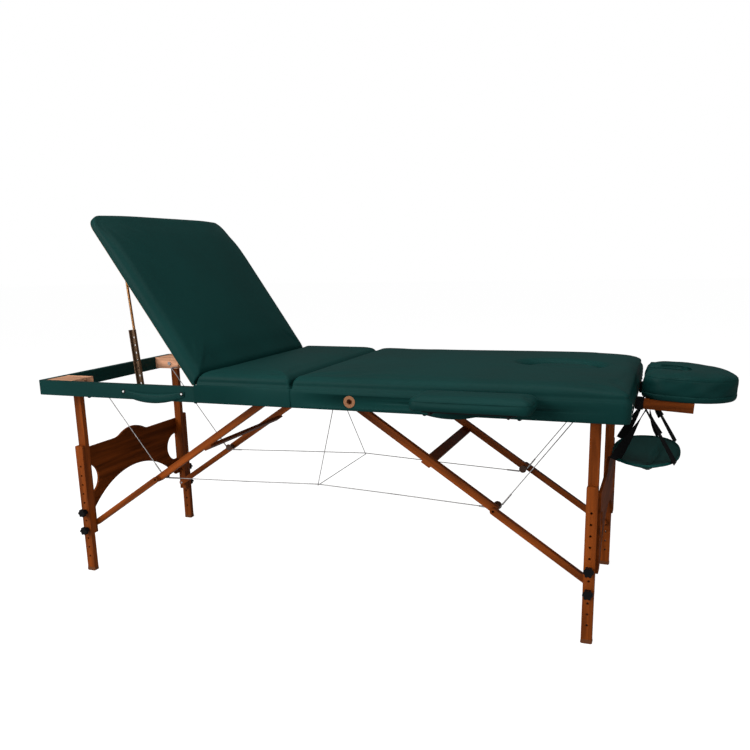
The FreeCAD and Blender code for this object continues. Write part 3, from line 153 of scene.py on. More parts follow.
FLOOR_HALF = 30
floor_corners = [(FLOOR_HALF * x, FLOOR_HALF * y, 0) for x, y in ((-1, -1), (1, -1), (1, 1), (-1, 1))]
floor_mesh = bpy.data.meshes.new("floor")
floor_mesh.from_pydata(floor_corners, [], [(0, 1, 2, 3)])
floor = bpy.data.objects.new("floor", floor_mesh)
scene.collection.objects.link(floor)
print("lamps and floor ready")

# %% [markdown]
# Finishes are made from a few shared effects: the pebble of grained vinyl, the soft waves of cloth over
# foam, the streaks of stained beech, and the patchy sheen that handling leaves.
# Each effect is a group of shader nodes with named sockets, so that several finishes can share it.

# %% Shader helpers
def group_tree(name, inputs, outputs):
    """An empty shader group with its sockets; an input without a value keeps its default."""
    tree = bpy.data.node_groups.new(name, "ShaderNodeTree")
    for title, kind, value in inputs:
        socket = tree.interface.new_socket(title, in_out="INPUT", socket_type=kind)
        if value is not None:
            socket.default_value = value
    for title, kind in outputs:
        tree.interface.new_socket(title, in_out="OUTPUT", socket_type=kind)
    start = tree.nodes.new("NodeGroupInput")
    end = tree.nodes.new("NodeGroupOutput")
    return tree, start, end


def math_node(tree, operation, first, second=None, third=None):
    """One sum on sockets or plain numbers."""
    node = tree.nodes.new("ShaderNodeMath")
    node.operation = operation
    for index, value in enumerate((first, second, third)):
        if value is None:
            continue
        if hasattr(value, "is_linked"):
            tree.links.new(value, node.inputs[index])
        else:
            node.inputs[index].default_value = value
    return node.outputs[0]


def texture(tree, kind, vector, scale, **values):
    """A texture on a vector, with its scale from a socket or a number."""
    node = tree.nodes.new(kind)
    tree.links.new(vector, node.inputs["Vector"])
    if hasattr(scale, "is_linked"):
        tree.links.new(scale, node.inputs["Scale"])
    else:
        node.inputs["Scale"].default_value = scale
    for title, value in values.items():
        node.inputs[title].default_value = value
    return node


print("shader helpers ready")

# %% [markdown]
# Grained vinyl is pebbled: small round cells with finer specks between them.
# Over foam it also lies in long soft waves, and handling leaves it patchy. A picture of vinyl would show its
# repeats on so large a cushion, so cells and noise make the grain, and each finish decides what it feeds.

# %% Effect: vinyl grain
def build_grain():
    tree, start, end = group_tree(
        "vinyl_grain",
        [("Vector", "NodeSocketVector", None), ("Cells", "NodeSocketFloat", 620.0),
         ("Waves", "NodeSocketFloat", 9.0)],
        [("Height", "NodeSocketFloat"), ("Slack", "NodeSocketFloat"), ("Patch", "NodeSocketFloat")],
    )
    vector = start.outputs["Vector"]
    cells = texture(tree, "ShaderNodeTexVoronoi", vector, start.outputs["Cells"])
    cells.feature = "SMOOTH_F1"
    cells.inputs["Smoothness"].default_value = 0.6
    specks = texture(tree, "ShaderNodeTexNoise", vector, 1400.0, Detail=2.0)
    pebble = math_node(tree, "MULTIPLY_ADD", specks.outputs["Fac"], 0.35, cells.outputs["Distance"])
    waves = texture(tree, "ShaderNodeTexNoise", vector, start.outputs["Waves"], Detail=2.0, Roughness=0.4)
    patch = texture(tree, "ShaderNodeTexNoise", vector, 3.2, Detail=3.0)
    tree.links.new(pebble, end.inputs["Height"])
    tree.links.new(waves.outputs["Fac"], end.inputs["Slack"])
    tree.links.new(patch.outputs["Fac"], end.inputs["Patch"])
    return tree


grain_effect = build_grain()
print("effect:", grain_effect.name)

# %% [markdown]
# Beech shows long streaks along the bar and short dark pores.
# The pattern is drawn out along X, and a finish turns it to the way its bar runs.

# %% Effect: wood figure
def build_figure():
    tree, start, end = group_tree(
        "wood_figure",
        [("Vector", "NodeSocketVector", None), ("Rings", "NodeSocketFloat", 46.0)],
        [("Streaks", "NodeSocketFloat"), ("Pores", "NodeSocketFloat"), ("Patch", "NodeSocketFloat")],
    )
    stretch = tree.nodes.new("ShaderNodeMapping")
    stretch.inputs["Scale"].default_value = (0.06, 1.0, 1.0)
    tree.links.new(start.outputs["Vector"], stretch.inputs["Vector"])
    streaks = texture(tree, "ShaderNodeTexNoise", stretch.outputs["Vector"], start.outputs["Rings"],
                      Detail=6.0, Roughness=0.62, Distortion=0.4)
    pores = texture(tree, "ShaderNodeTexNoise", stretch.outputs["Vector"], 520.0, Detail=2.0, Roughness=0.7)
    patch = texture(tree, "ShaderNodeTexNoise", start.outputs["Vector"], 5.0, Detail=2.0)
    tree.links.new(streaks.outputs["Fac"], end.inputs["Streaks"])
    tree.links.new(pores.outputs["Fac"], end.inputs["Pores"])
    tree.links.new(patch.outputs["Fac"], end.inputs["Patch"])
    return tree


figure_effect = build_figure()
print("effect:", figure_effect.name)

# %% [markdown]
# A finish starts from one shader, and its fixed values sit on the shader's own sockets.
# Only what changes over the surface comes in through nodes: colour, roughness and the bump that tilts the
# light.

# %% Finish helpers
def new_finish(name, color, rough, **values):
    """A material with one shader, whose other sockets are named with underscores for spaces."""
    material = bpy.data.materials.new(name)
    material.use_nodes = True
    tree = material.node_tree
    shader = tree.nodes["Principled BSDF"]
    shader.inputs["Base Color"].default_value = (*color, 1)
    shader.inputs["Roughness"].default_value = rough
    for title, value in values.items():
        shader.inputs[title.replace("_", " ")].default_value = value
    material.diffuse_color = (*color, 1)
    return material, tree, shader


def object_vector(tree, turn=(0, 0, 0)):
    """Object coordinates, turned to the way that a pattern runs."""
    place = tree.nodes.new("ShaderNodeTexCoord")
    mapping = tree.nodes.new("ShaderNodeMapping")
    mapping.inputs["Rotation"].default_value = turn
    tree.links.new(place.outputs["Object"], mapping.inputs["Vector"])
    return mapping.outputs["Vector"]


def use_effect(tree, effect, vector):
    node = tree.nodes.new("ShaderNodeGroup")
    node.node_tree = effect
    tree.links.new(vector, node.inputs["Vector"])
    return node


def ramp(tree, factor, stops):
    """Colours or greys along a factor; stops are (place, colour)."""
    node = tree.nodes.new("ShaderNodeValToRGB")
    tree.links.new(factor, node.inputs["Fac"])
    elements = node.color_ramp.elements
    while len(elements) < len(stops):
        elements.new(0.5)
    for element, (place, color) in zip(elements, stops):
        element.position = place
        element.color = (*color, 1) if hasattr(color, "__len__") else (color, color, color, 1)
    return node.outputs["Color"]


def bump(tree, shader, layers):
    """Stack heights, each with its depth in metres, under the shader's normal."""
    normal = None
    for height, depth in layers:
        node = tree.nodes.new("ShaderNodeBump")
        node.inputs["Strength"].default_value = 1.0
        node.inputs["Distance"].default_value = depth
        tree.links.new(height, node.inputs["Height"])
        if normal is not None:
            tree.links.new(normal, node.inputs["Normal"])
        normal = node.outputs["Normal"]
    tree.links.new(normal, shader.inputs["Normal"])


def shade(color, factor):
    return tuple(channel * factor for channel in color)


print("finish helpers ready")

# %% [markdown]
# The covers are dark green grained vinyl with a satin coat: deep in the flat, lighter where it rolls over an
# edge. The sling is the same cloth, its green painted lighter to stand for light where it hangs in shade
# below the headrest, so one maker serves them with different values.

# %% Vinyl finishes
GREEN = (0.0031, 0.0340, 0.0308)
VINYL_SHEEN = 0.075
GRAIN_DEPTH = 0.00012


def vinyl(name, color, rough, slack=0.0016):
    material, tree, shader = new_finish(name, color, rough, Specular_IOR_Level=VINYL_SHEEN)
    grain = use_effect(tree, grain_effect, object_vector(tree))
    tint = ramp(tree, grain.outputs["Patch"], [(0.30, shade(color, 0.88)), (0.70, shade(color, 1.14))])
    tree.links.new(tint, shader.inputs["Base Color"])
    gloss = ramp(tree, grain.outputs["Patch"], [(0.25, rough - 0.05), (0.75, rough + 0.07)])
    tree.links.new(gloss, shader.inputs["Roughness"])
    bump(tree, shader, [(grain.outputs["Slack"], slack), (grain.outputs["Height"], GRAIN_DEPTH)])
    return material


green_vinyl = vinyl("green_vinyl", GREEN, 0.52)
rail_vinyl = vinyl("rail_vinyl", GREEN, 0.54, slack=0.0008)
# The sling's brighter green is painted light on a shaded part, not a paler cloth.
sling_vinyl = vinyl("sling_vinyl", shade(GREEN, 1.7), 0.50)
print("vinyl finishes:", green_vinyl.name, rail_vinyl.name, sling_vinyl.name)

# %% [markdown]
# Legs and braces are beech under an orange-brown stain, the end panels the same wood stained darker.
# The figure runs along each bar, so the pattern is turned to the bar's direction.
# The dark crossbars belong to the braces' pieces, and a mask tells them apart by how near the table's middle
# they are.

# %% Wood finishes
STAIN = (0.205, 0.0445, 0.0056)
DARK_STAIN = (0.150, 0.0330, 0.0052)
UPRIGHT = (0, math.radians(90), 0)


def wood(name, color, turn, rough=0.40, sheen=0.10, dark_inside=None):
    """Stained beech; dark_inside is the distance from the middle within which it is stained dark."""
    material, tree, shader = new_finish(name, color, rough, Specular_IOR_Level=sheen)
    figure = use_effect(tree, figure_effect, object_vector(tree, turn))
    tint = ramp(tree, figure.outputs["Streaks"],
                [(0.30, shade(color, 0.45)), (0.50, color), (0.70, shade(color, 1.6))])
    if dark_inside is not None:
        place = tree.nodes.new("ShaderNodeTexCoord")
        split = tree.nodes.new("ShaderNodeSeparateXYZ")
        tree.links.new(place.outputs["Object"], split.inputs["Vector"])
        inner = math_node(tree, "LESS_THAN", math_node(tree, "ABSOLUTE", split.outputs["Y"]), dark_inside)
        mix = tree.nodes.new("ShaderNodeMix")
        mix.data_type = "RGBA"
        tree.links.new(inner, mix.inputs["Factor"])
        tree.links.new(tint, mix.inputs["A"])
        dark = ramp(tree, figure.outputs["Streaks"],
                    [(0.30, shade(DARK_STAIN, 0.6)), (0.72, shade(DARK_STAIN, 1.2))])
        tree.links.new(dark, mix.inputs["B"])
        tint = mix.outputs["Result"]
    tree.links.new(tint, shader.inputs["Base Color"])
    gloss = ramp(tree, figure.outputs["Patch"], [(0.3, rough - 0.06), (0.7, rough + 0.08)])
    tree.links.new(gloss, shader.inputs["Roughness"])
    bump(tree, shader, [(figure.outputs["Pores"], 0.00010), (figure.outputs["Streaks"], 0.00012)])
    return material


leg_wood = wood("leg_wood", STAIN, UPRIGHT)
lower_leg_wood = wood("lower_leg_wood", shade(STAIN, 1.05), UPRIGHT)
CROSSBAR_REACH = 0.2285
brace_wood = {
    RIGHT: wood("right_brace_wood", STAIN, (0, -BRACE_ANGLE, 0), dark_inside=CROSSBAR_REACH),
    LEFT: wood("left_brace_wood", STAIN, (0, BRACE_ANGLE, 0), dark_inside=CROSSBAR_REACH),
}
panel_wood = wood("panel_wood", DARK_STAIN, (0, 0, math.radians(90)), rough=0.5, sheen=0.02)
arm_wood = wood("arm_wood", shade(STAIN, 0.85), (0, 0, 0))
bare_wood = wood("bare_wood", (0.62, 0.32, 0.19), (0, 0, 0), rough=0.7)
ply_wood = wood("ply_wood", (0.40, 0.25, 0.13), (0, 0, 0), rough=0.75)
print("wood finishes ready")

# %% [markdown]
# Small parts are zinc-plated, brassy or painted steel, black plastic and rubber, and woven black webbing.
# Metal is scuffed, plastic is faintly speckled, and webbing has ribs across it. At this size noise and
# waves are enough, so three short makers serve them all.

# %% Metal, plastic and webbing finishes
def scuffed_metal(name, color, rough, metal=1.0):
    material, tree, shader = new_finish(name, color, rough, Metallic=metal)
    vector = object_vector(tree)
    noise = texture(tree, "ShaderNodeTexNoise", vector, 180.0, Detail=4.0, Roughness=0.6)
    tree.links.new(ramp(tree, noise.outputs["Fac"], [(0.3, rough - 0.1), (0.7, rough + 0.12)]),
                   shader.inputs["Roughness"])
    tint = ramp(tree, noise.outputs["Fac"], [(0.35, shade(color, 0.82)), (0.65, shade(color, 1.08))])
    tree.links.new(tint, shader.inputs["Base Color"])
    return material


def speckled(name, color, rough, cells=900.0, depth=0.00006):
    material, tree, shader = new_finish(name, color, rough, Specular_IOR_Level=0.12)
    vector = object_vector(tree)
    noise = texture(tree, "ShaderNodeTexNoise", vector, cells, Detail=2.0)
    tree.links.new(ramp(tree, noise.outputs["Fac"], [(0.3, shade(color, 0.75)), (0.7, shade(color, 1.3))]),
                   shader.inputs["Base Color"])
    tree.links.new(ramp(tree, noise.outputs["Fac"], [(0.3, rough - 0.06), (0.7, rough + 0.06)]),
                   shader.inputs["Roughness"])
    bump(tree, shader, [(noise.outputs["Fac"], depth)])
    return material


def woven(name, color):
    material, tree, shader = new_finish(name, color, 0.85, Specular_IOR_Level=0.1)
    vector = object_vector(tree)
    ribs = tree.nodes.new("ShaderNodeTexWave")
    ribs.bands_direction = "Z"
    ribs.inputs["Scale"].default_value = 160.0
    ribs.inputs["Distortion"].default_value = 0.6
    tree.links.new(vector, ribs.inputs["Vector"])
    tree.links.new(ramp(tree, ribs.outputs["Fac"], [(0.2, shade(color, 0.6)), (0.8, shade(color, 1.5))]),
                   shader.inputs["Base Color"])
    bump(tree, shader, [(ribs.outputs["Fac"], 0.0003)])
    return material


zinc = scuffed_metal("zinc", (0.56, 0.56, 0.58), 0.38)
brassy = scuffed_metal("brassy", (0.46, 0.22, 0.08), 0.36)
brown_steel = scuffed_metal("brown_steel", (0.070, 0.026, 0.011), 0.5, metal=0.1)
bronze = scuffed_metal("bronze", (0.17, 0.100, 0.055), 0.40, metal=0.6)
dark_steel = scuffed_metal("dark_steel", (0.010, 0.009, 0.008), 0.5, metal=0.3)
cable_steel = scuffed_metal("cable_steel", (0.42, 0.41, 0.41), 0.46, metal=0.5)
screw_white = scuffed_metal("screw_white", (0.72, 0.72, 0.70), 0.34, metal=0.2)
black_plastic = speckled("black_plastic", (0.0045, 0.0045, 0.005), 0.46)
black_rubber = speckled("black_rubber", (0.007, 0.007, 0.007), 0.7)
foot_rubber = speckled("foot_rubber", (0.150, 0.052, 0.020), 0.6)
sleeve_plastic = speckled("sleeve_plastic", (0.30, 0.135, 0.065), 0.5)
thread = speckled("thread", (0.006, 0.034, 0.031), 0.6)
webbing = woven("webbing", (0.0045, 0.0045, 0.005))
print("small finishes ready")

# %% [markdown]
# The floor is pale matt paint. It should catch soft shadows and still melt into the white wall, so it
# glows by itself, but only where the camera looks straight at it. The light that it throws back stays that
# of grey paint.

# %% Floor finish
FLOOR_GREY, FLOOR_GLOW = 0.36, 0.90
floor_paint, floor_tree, floor_shader = new_finish("floor_paint", (FLOOR_GREY,) * 3, 0.9,
                                                   Specular_IOR_Level=0.1)
floor_shader.inputs["Emission Color"].default_value = (1, 1, 1, 1)
floor_seen = floor_tree.nodes.new("ShaderNodeLightPath")
floor_tree.links.new(math_node(floor_tree, "MULTIPLY", floor_seen.outputs["Is Camera Ray"], FLOOR_GLOW),
                     floor_shader.inputs["Emission Strength"])
floor.data.materials.append(floor_paint)
print("floor finish:", floor_paint.name)

# %% [markdown]
# The solid pieces that keep their shape only need their finish, so each gets it in the frame's own material
# slot. The slot is linked to the object, because pieces may share a mesh.

# %% Finishes of the solid pieces
def dress(material, *names):
    for name in names:
        for slot in nodes[name].material_slots:
            slot.link = "OBJECT"
            slot.material = material


dress(rail_vinyl, "left_side_rails", "right_side_rails", "left_cross_rails", "right_cross_rails")
dress(bare_wood, "left_corner_blocks", "right_corner_blocks")
dress(ply_wood, "seat_deck", "right_deck", "backrest_deck")
dress(zinc, "left_fittings", "right_fittings", "left_hinge_leaves", "right_hinge_leaves", "backrest_hinges",
      "left_leg_bolts", "right_leg_bolts")
dress(leg_wood, "left_upper_legs", "right_upper_legs")
dress(panel_wood, "left_end_panel", "right_end_panel")
dress(brace_wood[RIGHT], "right_upper_braces", "right_lower_braces")
dress(brace_wood[LEFT], "left_upper_braces", "left_lower_braces")
dress(arm_wood, "headrest_frame")
dress(brassy, "prop_rods")
dress(bronze, "prop_channels")
dress(black_plastic, "near_armrest_bracket", "far_armrest_bracket")
dress(brown_steel, "left_knuckle_bolts", "right_knuckle_bolts")
dress(sleeve_plastic, "grommets")
for corner in ("left_near", "left_far", "right_near", "right_far"):
    dress(lower_leg_wood, corner + "_lower_leg")
    dress(foot_rubber, corner + "_foot")
    dress(black_plastic, corner + "_lower_knob", corner + "_upper_knob")
print("solid pieces dressed")

# %% [markdown]
# Helpers for new pieces: a mesh from stacked rings, several meshes joined in one piece, a mesh with its
# modifiers baked in, a line laid on a finished surface, and a round tube.

# %% Mesh helpers
def add_piece(name, mesh, material, body, smooth=True):
    """An object at the origin that rides on a body."""
    piece = bpy.data.objects.new(name, mesh)
    scene.collection.objects.link(piece)
    mesh.materials.clear()
    mesh.materials.append(material)
    for polygon in mesh.polygons:
        polygon.use_smooth = smooth
    if body is not None:
        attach(piece, body)
    return piece


def ring_mesh(name, rings, closed=False):
    """A closed skin through rings of equal count; open rows of rings are capped at both ends."""
    count = len(rings[0])
    points = [point for ring in rings for point in ring]
    faces = []
    rows = len(rings)
    for row in range(rows if closed else rows - 1):
        first, second = row * count, ((row + 1) % rows) * count
        for step in range(count):
            after = (step + 1) % count
            faces.append((first + step, first + after, second + after, second + step))
    if not closed:
        faces.append(tuple(range(count))[::-1])
        faces.append(tuple(range((rows - 1) * count, rows * count)))
    mesh = bpy.data.meshes.new(name)
    mesh.from_pydata([tuple(point) for point in points], [], faces)
    outward(mesh)
    return mesh


def outward(mesh):
    """Merge doubles and point the faces out."""
    work = bmesh.new()
    work.from_mesh(mesh)
    bmesh.ops.remove_doubles(work, verts=work.verts, dist=1e-6)
    bmesh.ops.recalc_face_normals(work, faces=work.faces)
    work.to_mesh(mesh)
    work.free()


def bake(piece):
    """Turn the modifiers of a piece into its mesh."""
    scene.view_layers[0].update()
    depsgraph = bpy.context.evaluated_depsgraph_get()
    mesh = bpy.data.meshes.new_from_object(piece.evaluated_get(depsgraph))
    piece.modifiers.clear()
    piece.data = mesh


def vertex_values(piece, title):
    """The place or the normal of every vertex, one to a row."""
    values = np.zeros(len(piece.data.vertices) * 3)
    piece.data.vertices.foreach_get(title, values)
    return values.reshape(-1, 3)


def points_of(piece):
    return vertex_values(piece, "co")


def move_points(piece, points):
    piece.data.vertices.foreach_set("co", points.ravel())
    piece.data.update()


def joined(name, parts, body, smooth=False):
    """One piece from closed meshes, each with its own material."""
    work = bmesh.new()
    materials = []
    for mesh, material in parts:
        if material not in materials:
            materials.append(material)
        before = len(work.faces)
        work.from_mesh(mesh)
        bpy.data.meshes.remove(mesh)
        work.faces.ensure_lookup_table()
        for index in range(before, len(work.faces)):
            work.faces[index].material_index = materials.index(material)
    mesh = bpy.data.meshes.new(name)
    work.to_mesh(mesh)
    work.free()
    piece = add_piece(name, mesh, materials[0], body, smooth)
    for material in materials[1:]:
        mesh.materials.append(material)
    return piece


def laid_on(piece, points, lift):
    """Points moved onto a piece's surface and raised off it a little."""
    mesh = piece.data
    surface = BVHTree.FromPolygons([vertex.co for vertex in mesh.vertices],
                                   [face.vertices for face in mesh.polygons])
    laid = []
    for point in points:
        place, normal = surface.find_nearest(Vector(point))[:2]
        laid.append(place + normal * lift)
    return laid


def tube(name, lines, radius, closed=False):
    """Round tubes along smooth splines."""
    curve = bpy.data.curves.new(name, "CURVE")
    curve.dimensions = "3D"
    curve.bevel_depth = radius
    curve.bevel_resolution = 3
    curve.resolution_u = 4 if closed else 12
    curve.use_fill_caps = True
    for line in lines:
        spline = curve.splines.new("NURBS")
        spline.points.add(len(line) - 1)
        for point, place in zip(spline.points, line):
            point.co = (*place, 1)
        spline.order_u = 3
        spline.use_endpoint_u = not closed
        spline.use_cyclic_u = closed
    maker = bpy.data.objects.new(name + "_line", curve)
    scene.collection.objects.link(maker)
    scene.view_layers[0].update()
    mesh = bpy.data.meshes.new_from_object(maker.evaluated_get(bpy.context.evaluated_depsgraph_get()))
    bpy.data.objects.remove(maker)
    outward(mesh)
    return mesh


print("mesh helpers ready")

# %% [markdown]
# Stitches, staples, screw heads and rubber buttons repeat, so each pattern is a small tree of geometry
# nodes. One tree lays short threads along a line at even steps, the other sets domes on points and faces
# them one way. The result is turned into a plain mesh, because the export keeps no instances.

# %% Repeating patterns
def pattern_tree(name, inputs):
    """An empty tree with its sockets, and the identifiers by which a modifier sets them."""
    tree = bpy.data.node_groups.new(name, "GeometryNodeTree")
    tree.interface.new_socket("Line", in_out="INPUT", socket_type="NodeSocketGeometry")
    keys = {}
    for title, kind in inputs:
        keys[title] = tree.interface.new_socket(title, in_out="INPUT", socket_type=kind).identifier
    tree.interface.new_socket("Made", in_out="OUTPUT", socket_type="NodeSocketGeometry")
    return tree, keys, tree.nodes.new("NodeGroupInput"), tree.nodes.new("NodeGroupOutput")


def finish_pattern(tree, start, end, points, rotation, wide, tall):
    """Set a stretched ball on each point, make it real and give it its material."""
    ball = tree.nodes.new("GeometryNodeMeshUVSphere")
    ball.inputs["Segments"].default_value = 12
    ball.inputs["Rings"].default_value = 8
    ball.inputs["Radius"].default_value = 1.0
    size = tree.nodes.new("ShaderNodeCombineXYZ")
    for axis, value in (("X", wide), ("Y", wide), ("Z", tall)):
        tree.links.new(value, size.inputs[axis])
    shape = tree.nodes.new("GeometryNodeTransform")
    tree.links.new(ball.outputs["Mesh"], shape.inputs["Geometry"])
    tree.links.new(size.outputs["Vector"], shape.inputs["Scale"])
    place = tree.nodes.new("GeometryNodeInstanceOnPoints")
    tree.links.new(points, place.inputs["Points"])
    tree.links.new(shape.outputs["Geometry"], place.inputs["Instance"])
    tree.links.new(rotation, place.inputs["Rotation"])
    real = tree.nodes.new("GeometryNodeRealizeInstances")
    tree.links.new(place.outputs["Instances"], real.inputs["Geometry"])
    paint = tree.nodes.new("GeometryNodeSetMaterial")
    tree.links.new(real.outputs["Geometry"], paint.inputs["Geometry"])
    tree.links.new(start.outputs["Material"], paint.inputs["Material"])
    tree.links.new(paint.outputs["Geometry"], end.inputs["Made"])


def build_stitches():
    tree, keys, start, end = pattern_tree("stitch_row", [
        ("Spacing", "NodeSocketFloat"), ("Half Length", "NodeSocketFloat"), ("Thread", "NodeSocketFloat"),
        ("Material", "NodeSocketMaterial")])
    line = tree.nodes.new("GeometryNodeMeshToCurve")
    tree.links.new(start.outputs["Line"], line.inputs["Mesh"])
    dots = tree.nodes.new("GeometryNodeCurveToPoints")
    dots.mode = "LENGTH"
    tree.links.new(line.outputs["Curve"], dots.inputs["Curve"])
    tree.links.new(start.outputs["Spacing"], dots.inputs["Length"])
    finish_pattern(tree, start, end, dots.outputs["Points"], dots.outputs["Rotation"],
                   start.outputs["Thread"], start.outputs["Half Length"])
    return tree, keys


def build_domes():
    tree, keys, start, end = pattern_tree("dome_set", [
        ("Radius", "NodeSocketFloat"), ("Height", "NodeSocketFloat"), ("Facing", "NodeSocketVector"),
        ("Material", "NodeSocketMaterial")])
    dots = tree.nodes.new("GeometryNodeMeshToPoints")
    tree.links.new(start.outputs["Line"], dots.inputs["Mesh"])
    turned = tree.nodes.new("FunctionNodeAlignRotationToVector")
    turned.axis = "Z"
    tree.links.new(start.outputs["Facing"], turned.inputs["Vector"])
    finish_pattern(tree, start, end, dots.outputs["Points"], turned.outputs["Rotation"],
                   start.outputs["Radius"], start.outputs["Height"])
    return tree, keys


stitch_tree, stitch_keys = build_stitches()
dome_tree, dome_keys = build_domes()


def pattern(name, tree, keys, points, edges, material, body, **values):
    """A plain mesh of what a tree makes from points and edges."""
    guide = bpy.data.meshes.new(name + "_guide")
    guide.from_pydata([tuple(point) for point in points], edges, [])
    maker = bpy.data.objects.new(name + "_guide", guide)
    scene.collection.objects.link(maker)
    made = maker.modifiers.new("pattern", "NODES")
    made.node_group = tree
    for title, value in values.items():
        made[keys[title.replace("_", " ")]] = value
    made[keys["Material"]] = material
    scene.view_layers[0].update()
    mesh = bpy.data.meshes.new_from_object(maker.evaluated_get(bpy.context.evaluated_depsgraph_get()))
    bpy.data.objects.remove(maker)
    return add_piece(name, mesh, material, body)


def stitches(name, lines, material, body, spacing=0.006, half=0.0021, radius=0.00055, closed=False):
    """Rows of threads along lines; a closed line runs back to its start."""
    points, edges = [], []
    for line in lines:
        first = len(points)
        points += line
        edges += [(first + step, first + step + 1) for step in range(len(line) - 1)]
        if closed:
            edges.append((first + len(line) - 1, first))
    return pattern(name, stitch_tree, stitch_keys, points, edges, material, body,
                   Spacing=spacing, Half_Length=half, Thread=radius)


def domes(name, points, facing, radius, height, material, body):
    """Round heads on points, all facing one way."""
    return pattern(name, dome_tree, dome_keys, points, [], material, body,
                   Radius=radius, Height=height, Facing=facing)


print("patterns:", stitch_tree.name, dome_tree.name)

# %% [markdown]
# A cover is swelled over its foam with a short cloth step. Sculpting it would fix one shape, and the cloth
# step follows any form. The form is rebuilt in even cells, held where it is glued to the board, blown up
# with a little pressure, and kept within a few millimetres of where it began.

# %% Swelling a cover over foam
SWELL_FRAMES = 20
SWELL_PRESSURE = 4.0


def swell(piece, cell, reach, held):
    """Rebuild a form in even cells, swell it as cloth and cap how far each point goes."""
    remesh = piece.modifiers.new("cells", "REMESH")
    remesh.mode = "VOXEL"
    remesh.voxel_size = cell
    soften = piece.modifiers.new("soften", "SMOOTH")
    soften.factor = 0.5
    soften.iterations = 3
    bake(piece)
    start = points_of(piece)
    glued = piece.vertex_groups.new(name="glued")
    glued.add([int(index) for index in np.nonzero(held(start))[0]], 1.0, "REPLACE")
    cloth = piece.modifiers.new("cover", "CLOTH")
    settings = cloth.settings
    settings.quality = 4
    settings.vertex_group_mass = "glued"
    settings.tension_stiffness = 25
    settings.compression_stiffness = 25
    settings.shear_stiffness = 10
    settings.bending_stiffness = 1.5
    settings.use_pressure = True
    settings.uniform_pressure_force = SWELL_PRESSURE
    settings.effector_weights.gravity = 0
    cloth.point_cache.frame_start = 1
    cloth.point_cache.frame_end = SWELL_FRAMES
    for number in range(1, SWELL_FRAMES + 1):
        scene.frame_set(number)
    bake(piece)
    scene.frame_set(1)
    piece.vertex_groups.clear()
    move = points_of(piece) - start
    far = np.linalg.norm(move, axis=1, keepdims=True)
    move *= np.minimum(1, reach / np.maximum(far, 1e-9))
    move_points(piece, start + move)
    tried = round(float(far.max()), 4)
    print(piece.name, "cells", len(piece.data.polygons), "tried to swell", tried, "m")
    rounder = piece.modifiers.new("rounder", "SUBSURF")
    rounder.levels = rounder.render_levels = 1
    bake(piece)
    for polygon in piece.data.polygons:
        polygon.use_smooth = True


print("swelling takes", SWELL_FRAMES, "frames")

# %% [markdown]
# A table cushion is a rounded rectangle in plan. Going up it rolls over the edge and rises to a low crown.
# Rings of the same outline, drawn in more and more, describe that at any size.
# The cover is pulled down over the board and the rail, so the foot of each side is ironed onto their outline
# and drawn in above it, which leaves the soft dark crease along the table.

# %% Cushion form
CORNER_STEPS = 10
ROLL_STEPS = 8
SIDE_SHARE = 0.42
SIDE_DEPTH = 0.014


def rounded_rectangle(low, high, corners, inset):
    """Points round a rectangle, with a radius for the low-X and for the high-X corners."""
    left, near = low[0] + inset, low[1] + inset
    right, far = high[0] - inset, high[1] - inset
    points = []
    spots = ((right, near, -90, corners[1], -1, 1), (right, far, 0, corners[1], -1, -1),
             (left, far, 90, corners[0], 1, -1), (left, near, 180, corners[0], 1, 1))
    for x, y, begin, radius, to_x, to_y in spots:
        radius = max(radius - inset, 0.002)
        middle = (x + to_x * radius, y + to_y * radius)
        for step in range(CORNER_STEPS + 1):
            angle = math.radians(begin + 90 * step / CORNER_STEPS)
            points.append((middle[0] + radius * math.cos(angle), middle[1] + radius * math.sin(angle)))
    return points


def cushion_rings(low, high, corners, base, edge, crown, roll, foot=0.0):
    """Rings from the glued foot, which may be drawn in, over the rolled edge to the crown."""
    rings = []

    def ring(inset, height):
        rings.append([(x, y, height) for x, y in rounded_rectangle(low, high, corners, inset)])

    tall = edge - base
    straight = tall * SIDE_SHARE
    ring(foot, base)
    ring(foot * 0.2, base + tall * 0.22)
    ring(0, base + straight)
    for step in range(1, ROLL_STEPS + 1):
        angle = math.radians(90 * step / ROLL_STEPS)
        ring(roll * (1 - math.cos(angle)), base + straight + (tall - straight) * math.sin(angle))
    widest = min(high[0] - low[0], high[1] - low[1]) / 2
    for share in (0.3, 0.5, 0.75, 0.97):
        inset = roll + (widest - roll) * share
        ring(inset, edge + crown * (1 - (1 - share) ** 2))
    return rings


def deck_held(level):
    """What the cloth step holds: all that lies below a level."""
    return lambda points: points[:, 2] < level


def smooth_step(low, high, values):
    share = np.clip((values - low) / (high - low), 0, 1)
    return share * share * (3 - 2 * share)


def off_outline(points, low, high, corners):
    """How far points lie outside a rounded rectangle, and the way out of it."""
    low, high = np.array(low), np.array(high)
    offset = points[:, :2] - (low + high) / 2
    radius = np.where(offset[:, 0] < 0, corners[0], corners[1])[:, None]
    past = np.abs(offset) - (high - low) / 2 + radius
    beyond = np.maximum(past, 0)
    reach = np.linalg.norm(beyond, axis=1, keepdims=True)
    far = reach[:, 0] + np.minimum(past.max(axis=1), 0) - radius[:, 0]
    nearest = (past == past.max(axis=1, keepdims=True)).astype(float)
    way = np.where(reach > 1e-9, beyond / np.maximum(reach, 1e-9), nearest)
    return far, way * np.sign(offset)


